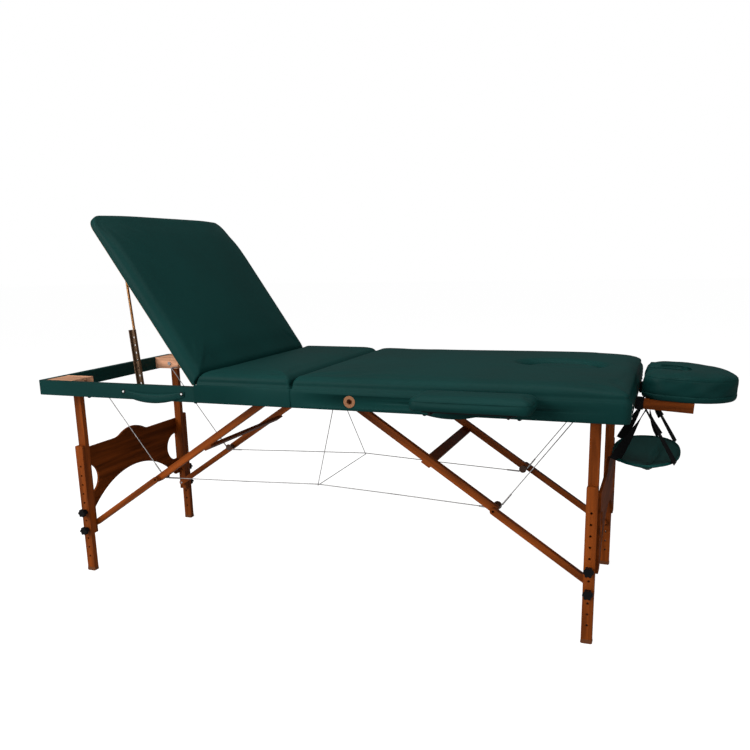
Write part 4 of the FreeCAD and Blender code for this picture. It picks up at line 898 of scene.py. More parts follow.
def iron(piece, low, high, corners, stands, free):
    """Press the foot of a cushion's sides against an outline.

    Stands are heights and how far the cover stands off the outline there; above free nothing is pressed.
    """
    points = points_of(piece)
    far, way = off_outline(points, low, high, corners)
    facing = (vertex_values(piece, "normal")[:, :2] * way).sum(axis=1)
    levels, offs = zip(*stands)
    pressed = 1 - smooth_step(levels[-1], free, points[:, 2])
    weight = smooth_step(0.2, 0.6, facing) * pressed * (far > -SIDE_DEPTH)
    points[:, :2] += way * (weight * (np.interp(points[:, 2], levels, offs) - far))[:, None]
    move_points(piece, points)


def keep_between(piece, lowest, highest):
    """Hold a cushion back from its neighbour across the fold or the hinge."""
    points = points_of(piece)
    points[:, 0] = np.clip(points[:, 0], lowest, highest)
    move_points(piece, points)


def upholster(piece, body, node):
    """Seat a finished cushion on its body, in place of the solid that it covers."""
    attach(piece, body)
    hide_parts(node)


print("cushion form ready")

# %% [markdown]
# The main cushion is a slab of foam with an oval opening for the face. A bevelled box would be quicker, but
# its edges would be even and hard, so it is built from rings and swelled.
# The opening is cut before the swelling, so that its rim rolls as well. Afterwards the cover is drawn down
# at the two end corners and along the rim.

# %% Main cushion
FACE_X = along(HALF_LONG - 0.214)
FACE_LONG, FACE_WIDE = 0.120, 0.076
FACE_SPARE, CUT_LOW, CUT_HIGH = 0.001, 0.66, 0.76
OVAL_STEPS = 64
RIM_DEPTH, RIM_SPREAD = 0.0050, 0.010
FOLD_SIDE, FOLD_RAIL, FOLD_FOAM = 0.0012, 0.0015, 0.002
GLUED = 0.008
CREASE = ((0.681, 0.0004), (0.685, -0.0002), (0.692, -0.0042))
CREASE_FREE = 0.711


def oval_ring(long, wide, height):
    """An oval round the middle of the face opening."""
    angles = [math.tau * step / OVAL_STEPS for step in range(OVAL_STEPS)]
    return [(FACE_X + long * math.cos(angle), wide * math.sin(angle), height) for angle in angles]


def carve(piece, cutter_mesh):
    """Cut a mesh out of a piece."""
    cutter = bpy.data.objects.new("cutter", cutter_mesh)
    scene.collection.objects.link(cutter)
    cut = piece.modifiers.new("opening", "BOOLEAN")
    cut.object = cutter
    cut.operation = "DIFFERENCE"
    cut.solver = "EXACT"
    bake(piece)
    bpy.data.objects.remove(cutter)


def pull_corners(piece, corner_x, base, share, reach):
    """Draw the cover down towards a base level at the two corners of one end."""
    points = points_of(piece)
    for side_y in (-HALF_WIDE, HALF_WIDE):
        far = np.hypot(points[:, 0] - corner_x, points[:, 1] - side_y)
        points[:, 2] -= (points[:, 2] - base) * share * np.exp(-(far / reach) ** 2)
    move_points(piece, points)


def sink_rim(piece):
    """Draw the cover down along the edge of the oval opening."""
    points = points_of(piece)
    share = np.hypot((points[:, 0] - FACE_X) / FACE_LONG, points[:, 1] / FACE_WIDE)
    far = np.abs(share - 1) * min(FACE_LONG, FACE_WIDE)
    upper = smooth_step(DECK_TOP, FOAM_EDGE, points[:, 2])
    points[:, 2] -= RIM_DEPTH * np.exp(-(far / RIM_SPREAD) ** 2) * upper
    move_points(piece, points)


main_low, main_high = (along(FOLD_FOAM), -HALF_WIDE), (along(HALF_LONG), HALF_WIDE)
rail_low, rail_high, rail_corners = (along(FOLD_RAIL), -HALF_WIDE), main_high, (0.003, 0.020)
main_rings = cushion_rings(main_low, main_high, (0.012, 0.024), DECK_TOP, FOAM_EDGE, FOAM_CROWN, roll=0.026)
main_cushion = add_piece("main_pad", ring_mesh("main_pad", main_rings), green_vinyl, None)
face_cut = [oval_ring(FACE_LONG + FACE_SPARE, FACE_WIDE + FACE_SPARE, level_z)
            for level_z in (CUT_LOW, CUT_HIGH)]
carve(main_cushion, ring_mesh("face_cutter", face_cut))
swell(main_cushion, cell=0.0075, reach=0.003, held=deck_held(DECK_TOP + GLUED))
pull_corners(main_cushion, main_high[0], DECK_TOP, share=0.26, reach=0.10)
sink_rim(main_cushion)
iron(main_cushion, rail_low, rail_high, rail_corners, CREASE, CREASE_FREE)
keep_between(main_cushion, along(FOLD_SIDE), along(HALF_LONG + 0.01))
upholster(main_cushion, "right_frame", "main_cushion")
print("main pad triangles about", 2 * len(main_cushion.data.polygons))

# %% [markdown]
# An oval plug fills the face opening. It is the same foam with a rounder edge, so ovals that draw in over a
# quarter circle make it. Its edge is sunk like the rim around it, and the two leave the crescent that the
# picture shows.

# %% Face plug
PLUG_GAP, PLUG_ROLL, PLUG_TOP_INSET = 0.0035, 0.021, 0.025
PLUG_FOOT, PLUG_SHOULDER, PLUG_RISE, PLUG_CROWN = DECK_TOP + 0.001, 0.701, 0.019, 0.7225
PLUG_GLUED = 0.012
PLUG_STEPS = 6

plug_rings = [oval_ring(FACE_LONG - PLUG_GAP, FACE_WIDE - PLUG_GAP, PLUG_FOOT)]
for step in range(PLUG_STEPS + 1):
    angle = math.radians(90 * step / PLUG_STEPS)
    inset = PLUG_GAP + PLUG_ROLL * (1 - math.cos(angle))
    level_z = PLUG_SHOULDER + PLUG_RISE * math.sin(angle)
    plug_rings.append(oval_ring(FACE_LONG - inset, FACE_WIDE - inset, level_z))
for share in (0.7, 0.4, 0.1):
    plug_rings.append(oval_ring((FACE_LONG - PLUG_TOP_INSET) * share, (FACE_WIDE - PLUG_TOP_INSET) * share,
                                PLUG_CROWN))
face_pad = add_piece("face_pad", ring_mesh("face_pad", plug_rings), green_vinyl, None)
swell(face_pad, cell=0.005, reach=0.0015, held=deck_held(DECK_TOP + PLUG_GLUED))
sink_rim(face_pad)
upholster(face_pad, "face_plug", "face_plug")
print("face plug rings:", len(plug_rings))

# %% [markdown]
# The seat is short and lies between the fold and the backrest hinge.
# Where it meets the backrest its end leans away, so that the two covers touch only along their lower edge.

# %% Seat cushion
LEAN, LEAN_REACH, LEAN_TOP = 0.010, 0.09, 1.2
SEAT_END, SEAT_STOP, SEAT_PRESS_END = -0.3165, -0.3195, -0.40
SEAT_RAIL_CORNERS = (0.003, 0.003)


def leaning_end(piece, hinge_x, inward, low):
    """Lean an end of a cushion back from the hinge, more towards its top."""
    points = points_of(piece)
    rise = np.clip((points[:, 2] - low) / (FOAM_EDGE - DECK_TOP), 0, LEAN_TOP)
    near = np.clip(1 - inward * (points[:, 0] - hinge_x) / LEAN_REACH, 0, 1)
    points[:, 0] += inward * LEAN * rise * near
    move_points(piece, points)


seat_low, seat_high = (along(SEAT_END), -HALF_WIDE), (along(-FOLD_FOAM), HALF_WIDE)
seat_press = (along(SEAT_PRESS_END), -HALF_WIDE), (along(-FOLD_RAIL), HALF_WIDE)
seat_rings = cushion_rings(seat_low, seat_high, (0.006, 0.012), DECK_TOP, FOAM_EDGE, FOAM_CROWN, roll=0.024)
seat_cushion = add_piece("seat_pad", ring_mesh("seat_pad", seat_rings), green_vinyl, None)
leaning_end(seat_cushion, seat_low[0], 1, DECK_TOP)
swell(seat_cushion, cell=0.006, reach=0.0025, held=deck_held(DECK_TOP + GLUED))
iron(seat_cushion, *seat_press, SEAT_RAIL_CORNERS, CREASE, CREASE_FREE)
keep_between(seat_cushion, along(SEAT_STOP), along(-FOLD_SIDE))
upholster(seat_cushion, "left_frame", "seat_cushion")
print("seat pad triangles about", 2 * len(seat_cushion.data.polygons))

# %% [markdown]
# The backrest is the seat's longer neighbour, with wide round corners at its top, where the cover is pulled
# well down. It is built lying flat, with the hinge at the origin, because rings and cloth are easier level,
# and its mesh is then raised to the angle of the picture.

# %% Backrest cushion
BOARD_TOP = 0.0025
FOAM_THICK = 0.041
BACK_END, BACK_START, BACK_PRESS_END = -0.603, -0.0055, 0.10
BACK_PRESS = ((BOARD_TOP, 0.0004), (0.0105, 0.0004))
BACK_FREE = 0.030
BACK_CORNER = 0.044
RAISE = Matrix.Translation(BACK_HINGE) @ Matrix.Rotation(BACK_ANGLE, 4, "Y")

back_low, back_high = (BACK_END, -HALF_WIDE), (BACK_START, HALF_WIDE)
back_rings = cushion_rings(back_low, back_high, (BACK_CORNER, 0.006), BOARD_TOP, BOARD_TOP + FOAM_THICK,
                           FOAM_CROWN, roll=0.028)
backrest_cushion = add_piece("backrest_pad", ring_mesh("backrest_pad", back_rings), green_vinyl, None)
leaning_end(backrest_cushion, back_high[0], -1, BOARD_TOP)
swell(backrest_cushion, cell=0.007, reach=0.003, held=deck_held(BOARD_TOP + GLUED))
pull_corners(backrest_cushion, back_low[0], BOARD_TOP, share=0.62, reach=0.085)
iron(backrest_cushion, back_low, (BACK_PRESS_END, HALF_WIDE), (BACK_CORNER, 0.003), BACK_PRESS, BACK_FREE)
backrest_cushion.data.transform(RAISE)
upholster(backrest_cushion, "backrest", "backrest_cushion")
print("backrest pad triangles about", 2 * len(backrest_cushion.data.polygons))

# %% [markdown]
# On the real table the cover does not stop at the board: it runs on down the rails and is stapled
# underneath. A thin band round each frame shows that. It could be a copy of the rails pushed outwards, but
# a profile carried round the outline gives it its belly and its turned-under lip. Its upper edge meets the
# foot of the cushion. Beside the seat the band is open towards the backrest, where there is no rail and
# only a narrow strip of cover is turned over the board's edge.

# %% Covers down the rails
BELLY, BELLY_RISE, BELLY_FULL = 0.0026, 0.65, 0.8
COVER_OUT = 0.0005
COVER_TOP = 0.6845
COVER_STEPS = 12
LIP, UNDER_LIP = 0.012, 0.0012
ROD_ROUND = 24


def cover_profile(bottom, top, lip, belly):
    """Insets from the rail's outside and heights: down the face, under the lip and back up inside."""
    foot = bottom + 0.001
    face = []
    for share in [0, 0.012] + [step / COVER_STEPS for step in range(1, COVER_STEPS + 1)]:
        bulge = belly * math.sin(math.pi * share ** BELLY_RISE) ** BELLY_FULL
        face.append((-COVER_OUT - bulge, top + (foot - top) * share))
    inside = [(-0.0002, top - 0.004), (-0.0004, top - 0.0025)]
    if not lip:
        return face + [(-0.0002, foot)] + inside
    return face + [(0.0002, bottom - 0.0008), (0.003, bottom - UNDER_LIP), (lip, bottom - UNDER_LIP),
                   (lip, bottom - 0.0002), (-0.0002, bottom - 0.0002)] + inside


def cover_band(name, low, high, corners, bottom, top, lip, body, belly=BELLY, open_end=False):
    """A band of cover round a frame's outside; with an open end it leaves the low-X side free."""
    outlines = []
    for inset, level_z in cover_profile(bottom, top, lip, belly):
        outline = rounded_rectangle(low, high, corners, inset)
        if open_end:
            far_end = 2 * (CORNER_STEPS + 1)
            outline = [(low[0], low[1] + inset)] + outline[:far_end] + [(low[0], high[1] - inset)]
        outlines.append([(x, y, level_z) for x, y in outline])
    rings = list(zip(*outlines))
    piece = add_piece(name, ring_mesh(name, rings, closed=not open_end), rail_vinyl, body)
    return piece


def round_rod(middle, axis, radius, reach):
    """A rod through a point along an axis, to cut holes with or to keep as a bar."""
    turned = Vector((0, 0, 1)).rotation_difference(Vector(axis)).to_matrix()
    angles = [math.tau * step / ROD_ROUND for step in range(ROD_ROUND)]
    rings = []
    for end in (-reach, reach):
        circle = [Vector((radius * math.cos(angle), radius * math.sin(angle), end)) for angle in angles]
        rings.append([Vector(middle) + turned @ point for point in circle])
    return ring_mesh("rod", rings)


GROMMET_X, GROMMET_Z, GROMMET_HOLE = along(0.183), 0.655, 0.0176
PEG_PLACES, PEG_Z, PEG_HOLE = (along(0.45), along(0.65)), 0.657, 0.0046
DOWEL_SIDE, DOWEL_Z, DOWEL_HOLE = 0.134, 0.645, 0.0104
ACROSS_REACH, END_REACH = 0.40, 0.02
right_cover = cover_band("right_frame_cover", rail_low, rail_high, rail_corners, RAIL_LOW, COVER_TOP, LIP,
                         None)
side_holes = [(GROMMET_X, GROMMET_Z, GROMMET_HOLE)] + [(x, PEG_Z, PEG_HOLE) for x in PEG_PLACES]
for x, z, radius in side_holes:
    carve(right_cover, round_rod((x, 0, z), (0, 1, 0), radius, ACROSS_REACH))
for side_y in (-DOWEL_SIDE, DOWEL_SIDE):
    carve(right_cover, round_rod((along(HALF_LONG), side_y, DOWEL_Z), (1, 0, 0), DOWEL_HOLE, END_REACH))
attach(right_cover, "right_frame")
cover_band("seat_cover", (along(-0.3215), -HALF_WIDE), (along(-FOLD_RAIL), HALF_WIDE), SEAT_RAIL_CORNERS,
           RAIL_LOW, COVER_TOP, LIP, "left_frame", open_end=True)
EDGE_STRIP = ((-0.3176, 0.6766), (-0.3178, 0.6815), (-0.3165, 0.6838), (-0.3130, 0.6845),
              (-0.3130, 0.6832), (-0.3160, 0.6826), (-0.3171, 0.6812), (-0.3171, 0.6766))
strip_rings = [[(along(x), hand * (HALF_WIDE - COVER_OUT), z) for x, z in EDGE_STRIP] for hand in (-1, 1)]
strip_mesh = ring_mesh("seat_edge_cover", strip_rings)
seat_edge = add_piece("seat_edge_cover", strip_mesh, rail_vinyl, "left_frame", smooth=False)
back_cover = cover_band("backrest_cover", back_low, (-0.005, HALF_WIDE), (BACK_CORNER, 0.003),
                        -BOARD_TOP, 0.0095, 0, None, belly=0.0004)
back_cover.data.transform(RAISE)
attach(back_cover, "backrest")
print("covers ready")

# %% [markdown]
# Staples hold the turned-under edge, rubber buttons under the rails keep the folded halves apart, and a few
# tacks close the corners at the right end. All of them repeat, so the two pattern trees lay them out.

# %% Staples, buttons and tacks
LIP_Z = RAIL_LOW - UNDER_LIP
STAPLE_INSET = 0.007
STAPLE = {"spacing": 0.055, "half": 0.005, "radius": 0.0005}
BUTTON_SIDE, BUTTON_RADIUS, BUTTON_TALL = HALF_WIDE - 0.011, 0.0065, 0.0055
BUTTONS = (("right_frame", LIP_Z, (0.397, 0.653)), ("left_frame", RAIL_LOW, (-0.326, -0.725)))
TACK_SIDE, TACK_LOW, TACK_STEP, TACKS = 0.331, 0.640, 0.011, 4
TACK_RADIUS, TACK_TALL = 0.0030, 0.0014

right_lip = [(x, y, LIP_Z) for x, y in rounded_rectangle(rail_low, rail_high, rail_corners, STAPLE_INSET)]
stitches("right_staples", [right_lip], zinc, "right_frame", closed=True, **STAPLE)
seat_lips = [[(along(x), hand * (HALF_WIDE - STAPLE_INSET), LIP_Z) for x in (-0.31, -0.012)]
             for hand in (-1, 1)]
stitches("seat_staples", seat_lips, zinc, "left_frame", **STAPLE)
for body, level_z, places in BUTTONS:
    spots = [(along(place), hand * BUTTON_SIDE, level_z) for place in places for hand in (-1, 1)]
    name = body.replace("frame", "rubber_buttons")
    domes(name, spots, (0, 0, -1), BUTTON_RADIUS, BUTTON_TALL, black_rubber, body)
tacks = [(along(HALF_LONG) + BELLY, hand * TACK_SIDE, TACK_LOW + TACK_STEP * step)
         for hand in (-1, 1) for step in range(TACKS)]
domes("end_tacks", tacks, (1, 0, 0), TACK_RADIUS, TACK_TALL, screw_white, "right_frame")
print("staples, buttons and tacks ready")

# %% [markdown]
# The headrest is a horseshoe of foam under the same vinyl, on arms that slope a little down from the table.
# Its outline is made of arcs and drawn in ring by ring. The cover has a top and a side panel with a welted
# seam between them, and a skirt that is pulled down over the edge of the board. As it is a loose cover, it
# also gets shallow wrinkles. They are a sum of waves and not noise, so they come out the same each time.

# %% Headrest cushion
HEAD_SLOPE = math.radians(3.5)
HEAD_PLACE = Matrix.Translation((along(HALF_LONG + 0.001), 0, DOWEL_Z)) @ Matrix.Rotation(HEAD_SLOPE, 4, "Y")
HEAD_NEAR, HEAD_TIP = 0.0120, 0.2600
HEAD_HALF, HEAD_SLOT, HEAD_BOW = 0.150, 0.050, 0.130
HEAD_TURN, SLOT_TURN = 0.054, 0.012
HEAD_BOARD_LOW, HEAD_BASE = 0.0135, 0.0215
HEAD_TALL = 0.0640
SEAM_LIFT = 0.0002


def horseshoe(inset, height):
    """Outline of the horseshoe, open towards the table."""
    near, half, slot = HEAD_NEAR + inset, HEAD_HALF - inset, HEAD_SLOT + inset
    deep = HEAD_TIP - HEAD_BOW - inset
    small = max(SLOT_TURN - inset * 0.3, 0.004)
    points = []

    def arc(x, y, radius, begin, end, steps):
        for step in range(steps + 1):
            angle = math.radians(begin + (end - begin) * step / steps)
            points.append((x + radius * math.cos(angle), y + radius * math.sin(angle), height))

    def slot_side(y, shares):
        for share in shares:
            points.append((deep - slot + (near - deep + slot) * share, y, height))

    arc(deep - slot + 2 * inset, 0, slot, -90, 90, 16)
    slot_side(slot, (0.25, 0.5, 0.75))
    arc(near + small, slot + small, small, 270, 180, 4)
    arc(near + HEAD_TURN, half - HEAD_TURN, HEAD_TURN, 180, 90, 8)
    arc(HEAD_TIP - HEAD_HALF, 0, half, 90, -90, 32)
    arc(near + HEAD_TURN, HEAD_TURN - half, HEAD_TURN, 270, 180, 8)
    arc(near + small, -slot - small, small, 180, 90, 4)
    slot_side(-slot, (0.75, 0.5, 0.25))
    return points


def head_line(inset, share):
    """The outline at a share of the cushion's height."""
    return horseshoe(inset, HEAD_BASE + HEAD_TALL * share)


def crumple(piece, depth):
    """Shallow wrinkles of a loose cover."""
    points = points_of(piece)
    x, y, z = points.T
    short_waves = np.sin(31 * x + 58 * y + 2.1) * np.sin(150 * z - 37 * x + 12 * y)
    long_waves = 0.6 * np.sin(74 * x - 33 * y + 90 * z)
    points += vertex_values(piece, "normal") * (depth * (short_waves + long_waves))[:, None]
    move_points(piece, points)


head_profile = ((0.008, 0), (0.003, 0.06), (0.0012, 0.14), (0.0008, 0.42), (0.0008, 0.62),
                (0.003, 0.76), (0.008, 0.88), (0.016, 0.955), (0.026, 0.99), (0.036, 1.0))
head_rings = [head_line(inset, share) for inset, share in head_profile]
headrest_pad = add_piece("headrest_pad", ring_mesh("headrest_pad", head_rings), green_vinyl, None)
swell(headrest_pad, cell=0.005, reach=0.0035, held=deck_held(HEAD_BASE + 0.004))
crumple(headrest_pad, depth=0.0011)
skirt_profile = ((0.0056, HEAD_BOARD_LOW + 0.0004), (0.0035, HEAD_BOARD_LOW + 0.0004),
                 (0.0012, HEAD_BOARD_LOW + 0.004), (0.0004, HEAD_BASE + 0.004),
                 (0.0012, HEAD_BASE + 0.0085), (0.0040, HEAD_BASE + 0.0075), (0.0056, HEAD_BASE))
skirt_rings = list(zip(*[horseshoe(inset, level_z) for inset, level_z in skirt_profile]))
skirt_mesh = ring_mesh("headrest_skirt", skirt_rings, closed=True)
headrest_skirt = add_piece("headrest_skirt", skirt_mesh, green_vinyl, None)
seam = laid_on(headrest_pad, head_line(0.004, 0.82), SEAM_LIFT)
welt_mesh = tube("headrest_welt", [seam], 0.0011, closed=True)
headrest_welt = add_piece("headrest_welt", welt_mesh, green_vinyl, None)
seam_rows = [laid_on(headrest_pad, head_line(inset, share), SEAM_LIFT)
             for inset, share in ((0.0015, 0.73), (0.007, 0.885))]
headrest_stitches = stitches("headrest_stitches", seam_rows, thread, None, closed=True)
for piece in (headrest_pad, headrest_skirt, headrest_welt, headrest_stitches):
    piece.data.transform(HEAD_PLACE)
    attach(piece, "headrest")
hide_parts("headrest_cushion")
print("headrest pad, skirt and seams ready")

# %% [markdown]
# The armrests are small firm cushions on steel plates, with a welt where the top meets the side.
# One form serves both sides of the table, so a loop makes them.

# %% Armrest cushions
ARM_MIDDLE, ARM_HALF_LONG = along(0.550), 0.1565
ARM_INNER, ARM_OUTER = HALF_WIDE + 0.0085, HALF_WIDE + 0.1345
ARM_BASE, ARM_EDGE, ARM_CROWN, ARM_HELD, ARM_SEAM = 0.6643, 0.700, 0.004, 0.668, 0.693
ARM_CORNERS = (0.022, 0.022)

for side_name, hand in (("near", -1), ("far", 1)):
    name, body = side_name + "_armrest_cover", side_name + "_armrest"
    low = (ARM_MIDDLE - ARM_HALF_LONG, min(hand * ARM_INNER, hand * ARM_OUTER))
    high = (ARM_MIDDLE + ARM_HALF_LONG, max(hand * ARM_INNER, hand * ARM_OUTER))
    rings = cushion_rings(low, high, ARM_CORNERS, ARM_BASE, ARM_EDGE, ARM_CROWN, roll=0.014, foot=0.003)
    pad = add_piece(name, ring_mesh(name, rings), green_vinyl, None)
    swell(pad, cell=0.005, reach=0.002, held=deck_held(ARM_HELD))
    upholster(pad, body, side_name + "_armrest_pad")
    seam = [(x, y, ARM_SEAM) for x, y in rounded_rectangle(low, high, ARM_CORNERS, -0.004)]
    welt = tube(side_name + "_armrest_welt", [laid_on(pad, seam, SEAM_LIFT)], 0.0010, closed=True)
    add_piece(side_name + "_armrest_welt", welt, green_vinyl, body)
print("armrests and their welts ready")

# %% [markdown]
# The handles are padded straps that hang between two screws and belly out in the middle.
# A swept oval that thins to flat tabs at its ends gives their shape directly. A row of stitches runs along
# both edges, and each tab is held by a white screw on a wider black disc that paints the screw's shadow.

# %% Handles
HANDLE_NEAR, HANDLE_LONG = 0.357, 0.230
HANDLE_Z, HANDLE_SAG = 0.653, 0.016
TAB_HALF, TAB_THICK, TAB_SCREW, TAB_SHARE = 0.0078, 0.0026, 0.0085, 0.10
HANDLE_SWELL, HANDLE_THICK = 0.0068, 0.0105
HANDLE_OFF = {LEFT: 0.0004, RIGHT: 0.0034}
HANDLE_STEPS, HANDLE_ROUND = 48, 20
STITCH_START, STITCH_EDGE, STITCH_OUT = 4, 0.78, 0.018
SCREW_SHADOW_RADIUS, SCREW_SHADOW_TALL, SCREW_RADIUS, SCREW_TALL = 0.0068, 0.0016, 0.0040, 0.0032


def handle_place(hand, share):
    """Place along the table, middle height and half height of a handle at a share of its length."""
    bow = 1 - (2 * share - 1) ** 2
    x = along(hand * (HANDLE_NEAR + HANDLE_LONG * share))
    return x, HANDLE_Z - HANDLE_SAG * bow, TAB_HALF + HANDLE_SWELL * bow


def handle_rings(hand):
    rings = []
    for number in range(HANDLE_STEPS + 1):
        share = number / HANDLE_STEPS
        x, middle, tall = handle_place(hand, share)
        padded = min(max((share - TAB_SHARE) / (1 - 2 * TAB_SHARE), 0), 1)
        thick = TAB_THICK + HANDLE_THICK * max(0.0, math.sin(math.pi * padded)) ** 0.6
        ring = []
        for step in range(HANDLE_ROUND):
            angle = math.tau * step / HANDLE_ROUND
            out = -math.copysign(abs(math.cos(angle)) ** 0.75, math.cos(angle))
            y = -HALF_WIDE - HANDLE_OFF[hand] - thick * (0.5 - 0.5 * out)
            ring.append((x, y, middle + tall * math.sin(angle)))
        rings.append(ring)
    return rings


def handle_row(hand, edge):
    """A line before the handle, near its upper or lower edge."""
    row = []
    for number in range(STITCH_START, HANDLE_STEPS - STITCH_START + 1):
        x, middle, tall = handle_place(hand, number / HANDLE_STEPS)
        row.append((x, -HALF_WIDE - STITCH_OUT, middle + edge * STITCH_EDGE * tall))
    return row


for half_name, hand in (("left", LEFT), ("right", RIGHT)):
    name, body = half_name + "_carry_handle", half_name + "_frame"
    strap = add_piece(name, ring_mesh(name, handle_rings(hand)), green_vinyl, None)
    upholster(strap, body, half_name + "_handle")
    rows = [laid_on(strap, handle_row(hand, edge), SEAM_LIFT) for edge in (-1, 1)]
    stitches(half_name + "_handle_stitches", rows, thread, body)
    tab_y = -HALF_WIDE - HANDLE_OFF[hand] - TAB_THICK
    tabs = [(along(hand * (HANDLE_NEAR + place)), tab_y, HANDLE_Z + 0.001)
            for place in (TAB_SCREW, HANDLE_LONG - TAB_SCREW)]
    # A wide flat black disc under each screw head paints the screw's shadow on the tab.
    domes(half_name + "_handle_screw_shadows", tabs, (0, -1, 0), SCREW_SHADOW_RADIUS, SCREW_SHADOW_TALL, black_plastic, body)
    domes(half_name + "_handle_screws", tabs, (0, -1, 0), SCREW_RADIUS, SCREW_TALL, screw_white, body)
print("handles, stitches and screws ready")

# %% [markdown]
# The sling is an oval of padded cloth that sags between webbing straps. Its upper and lower skins meet in a
# sewn edge, and a soft crease runs across it where it folds away. One formula for the height of the cloth
# serves both skins and the lines that the welt and the stitches follow.

# %% Sling
SLING_LEFT, SLING_RIGHT = along(HALF_LONG - 0.059), along(HALF_LONG + 0.127)
SLING_MIDDLE, SLING_HALF_LONG = (SLING_LEFT + SLING_RIGHT) / 2, (SLING_RIGHT - SLING_LEFT) / 2
SLING_HALF = 0.190
SLING_RIM, SLING_SAG = 0.482, 0.026
CREASE_DEPTH, CREASE_PLACE, CREASE_SLANT, CREASE_WIDE = 0.009, 0.25, 0.25, 0.10
EDGE_THICK, PUFF = 0.0015, 0.0055
SLING_SQUARE = 0.86
SLING_ROUND, SLING_ROWS = 96, 14


def sling_height(x_share, y_share):
    """Sag of the cloth, with a slanting crease to the right of its middle."""
    distance = min(1.0, math.hypot(x_share, y_share))
    off_crease = (x_share - CREASE_PLACE - CREASE_SLANT * y_share) / CREASE_WIDE
    crease = -CREASE_DEPTH * math.exp(-off_crease ** 2) * (1 - distance ** 3)
    return SLING_RIM - SLING_SAG * (1 - distance ** 2) + crease


def sling_ring(share, lift):
    """A line round the sling at a share of its size, raised off the middle of the cloth."""
    ring = []
    for step in range(SLING_ROUND):
        angle = math.tau * step / SLING_ROUND
        cos, sin = math.cos(angle), math.sin(angle)
        x_share = share * math.copysign(abs(cos) ** SLING_SQUARE, cos)
        y_share = share * math.copysign(abs(sin) ** SLING_SQUARE, sin)
        ring.append((SLING_MIDDLE + SLING_HALF_LONG * x_share, SLING_HALF * y_share,
                     sling_height(x_share, y_share) + lift))
    return ring


row_shares = [row / SLING_ROWS for row in range(1, SLING_ROWS + 1)]
sling_rings = [sling_ring(share, skin * (EDGE_THICK + PUFF * (1 - share ** 4)))
               for skin, shares in ((-1, row_shares), (1, row_shares[::-1])) for share in shares]
sling_pad = add_piece("sling_cloth", ring_mesh("sling_cloth", sling_rings), sling_vinyl, "sling")
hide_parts("sling_pad")
ABOVE_CLOTH = 0.012
welt_line = laid_on(sling_pad, sling_ring(0.955, ABOVE_CLOTH), 0.0004)
welt_mesh = tube("sling_welt", [welt_line], 0.0017, closed=True)
sling_welt = add_piece("sling_welt", welt_mesh, sling_vinyl, "sling")
stitch_line = laid_on(sling_pad, sling_ring(0.90, ABOVE_CLOTH), SEAM_LIFT)
stitches("sling_stitches", [stitch_line], thread, "sling", closed=True)
print("sling, welt and stitches ready")

# %% [markdown]
# Flat webbing carries the sling. Each strap is a thin band swept from the bar under the arm to the sling's
# edge. It lies across the bar at its top and turns as it goes down, more on the table's side than on the
# far end. A short loose tail hangs beside each bar, and a loop of webbing holds the headrest's arm.

# %% Sling straps
STRAP_WIDE, STRAP_THICK, STRAP_STEPS = 0.030, 0.0016, 12
STRAP_INSET = 0.014
STRAP_FEET = ((SLING_LEFT + STRAP_INSET, math.radians(72)), (SLING_RIGHT - STRAP_INSET, math.radians(14)))
BAR_X, BAR_Z, BAR_RADIUS, BAR_HALF = along(HALF_LONG + 0.030), 0.6264, 0.0028, 0.017
TAIL_OUT, TAIL_DROP, TAIL_TURN = 0.028, 0.066, math.radians(40)
TAIL_WIDE = STRAP_WIDE * 0.85
ACROSS = Vector((0, 1, 0))


def band(points, wide, turn):
    """A flat band along points, across the table at its start and turned by an angle at its end."""
    rings = []
    for number, point in enumerate(points):
        before, after = points[max(number - 1, 0)], points[min(number + 1, len(points) - 1)]
        run = (after - before).normalized()
        share = number / (len(points) - 1)
        angle = turn * share * share * (3 - 2 * share)
        across = ACROSS * math.cos(angle) + run.cross(ACROSS).normalized() * math.sin(angle)
        normal = run.cross(across).normalized()
        corners = ((1, 1), (1, -1), (-1, -1), (-1, 1))
        rings.append([point + across * (wide / 2 * a) + normal * (STRAP_THICK / 2 * b) for a, b in corners])
    return ring_mesh("band", rings)


strap_parts = []
for hand in (-1, 1):
    top = Vector((BAR_X, hand * DOWEL_SIDE, BAR_Z))
    for edge, turn in STRAP_FEET:
        foot = Vector((edge, hand * DOWEL_SIDE, SLING_RIM - 0.001))
        run = [top.lerp(foot, step / STRAP_STEPS) for step in range(STRAP_STEPS + 1)]
        strap_parts.append((band(run, STRAP_WIDE, turn), webbing))
    tail_top = top + Vector((0.010, -hand * 0.004, -0.003))
    tail = [tail_top + Vector((TAIL_OUT * share ** 1.5, 0, -TAIL_DROP * share))
            for share in (0, 0.25, 0.5, 0.75, 1)]
    strap_parts.append((band(tail, TAIL_WIDE, TAIL_TURN), webbing))
    strap_parts.append((round_rod(top, (0, 1, 0), BAR_RADIUS, BAR_HALF), dark_steel))

LOOP_START, LOOP_END = 0.002, 0.022
LOOP_INSIDE, LOOP_OUTSIDE = (0.0107, 0.0142), (0.0123, 0.0158)
loop_section = ((LOOP_START, LOOP_INSIDE), (LOOP_END, LOOP_INSIDE), (LOOP_END, LOOP_OUTSIDE),
                (LOOP_START, LOOP_OUTSIDE))
loop_parts = []
for hand in (-1, 1):
    loop_rings = [[(x, hand * DOWEL_SIDE + a * wide, b * tall) for x, (wide, tall) in loop_section]
                  for a, b in ((1, 1), (-1, 1), (-1, -1), (1, -1))]
    loop_parts.append((ring_mesh("loop", loop_rings, closed=True), webbing))
arm_loops = joined("arm_loops", loop_parts, None)
arm_loops.data.transform(HEAD_PLACE)
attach(arm_loops, "headrest")
sling_straps = joined("sling_webbing", strap_parts, "sling")
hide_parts("sling_straps")
print("straps and loops:", len(strap_parts), len(loop_parts))
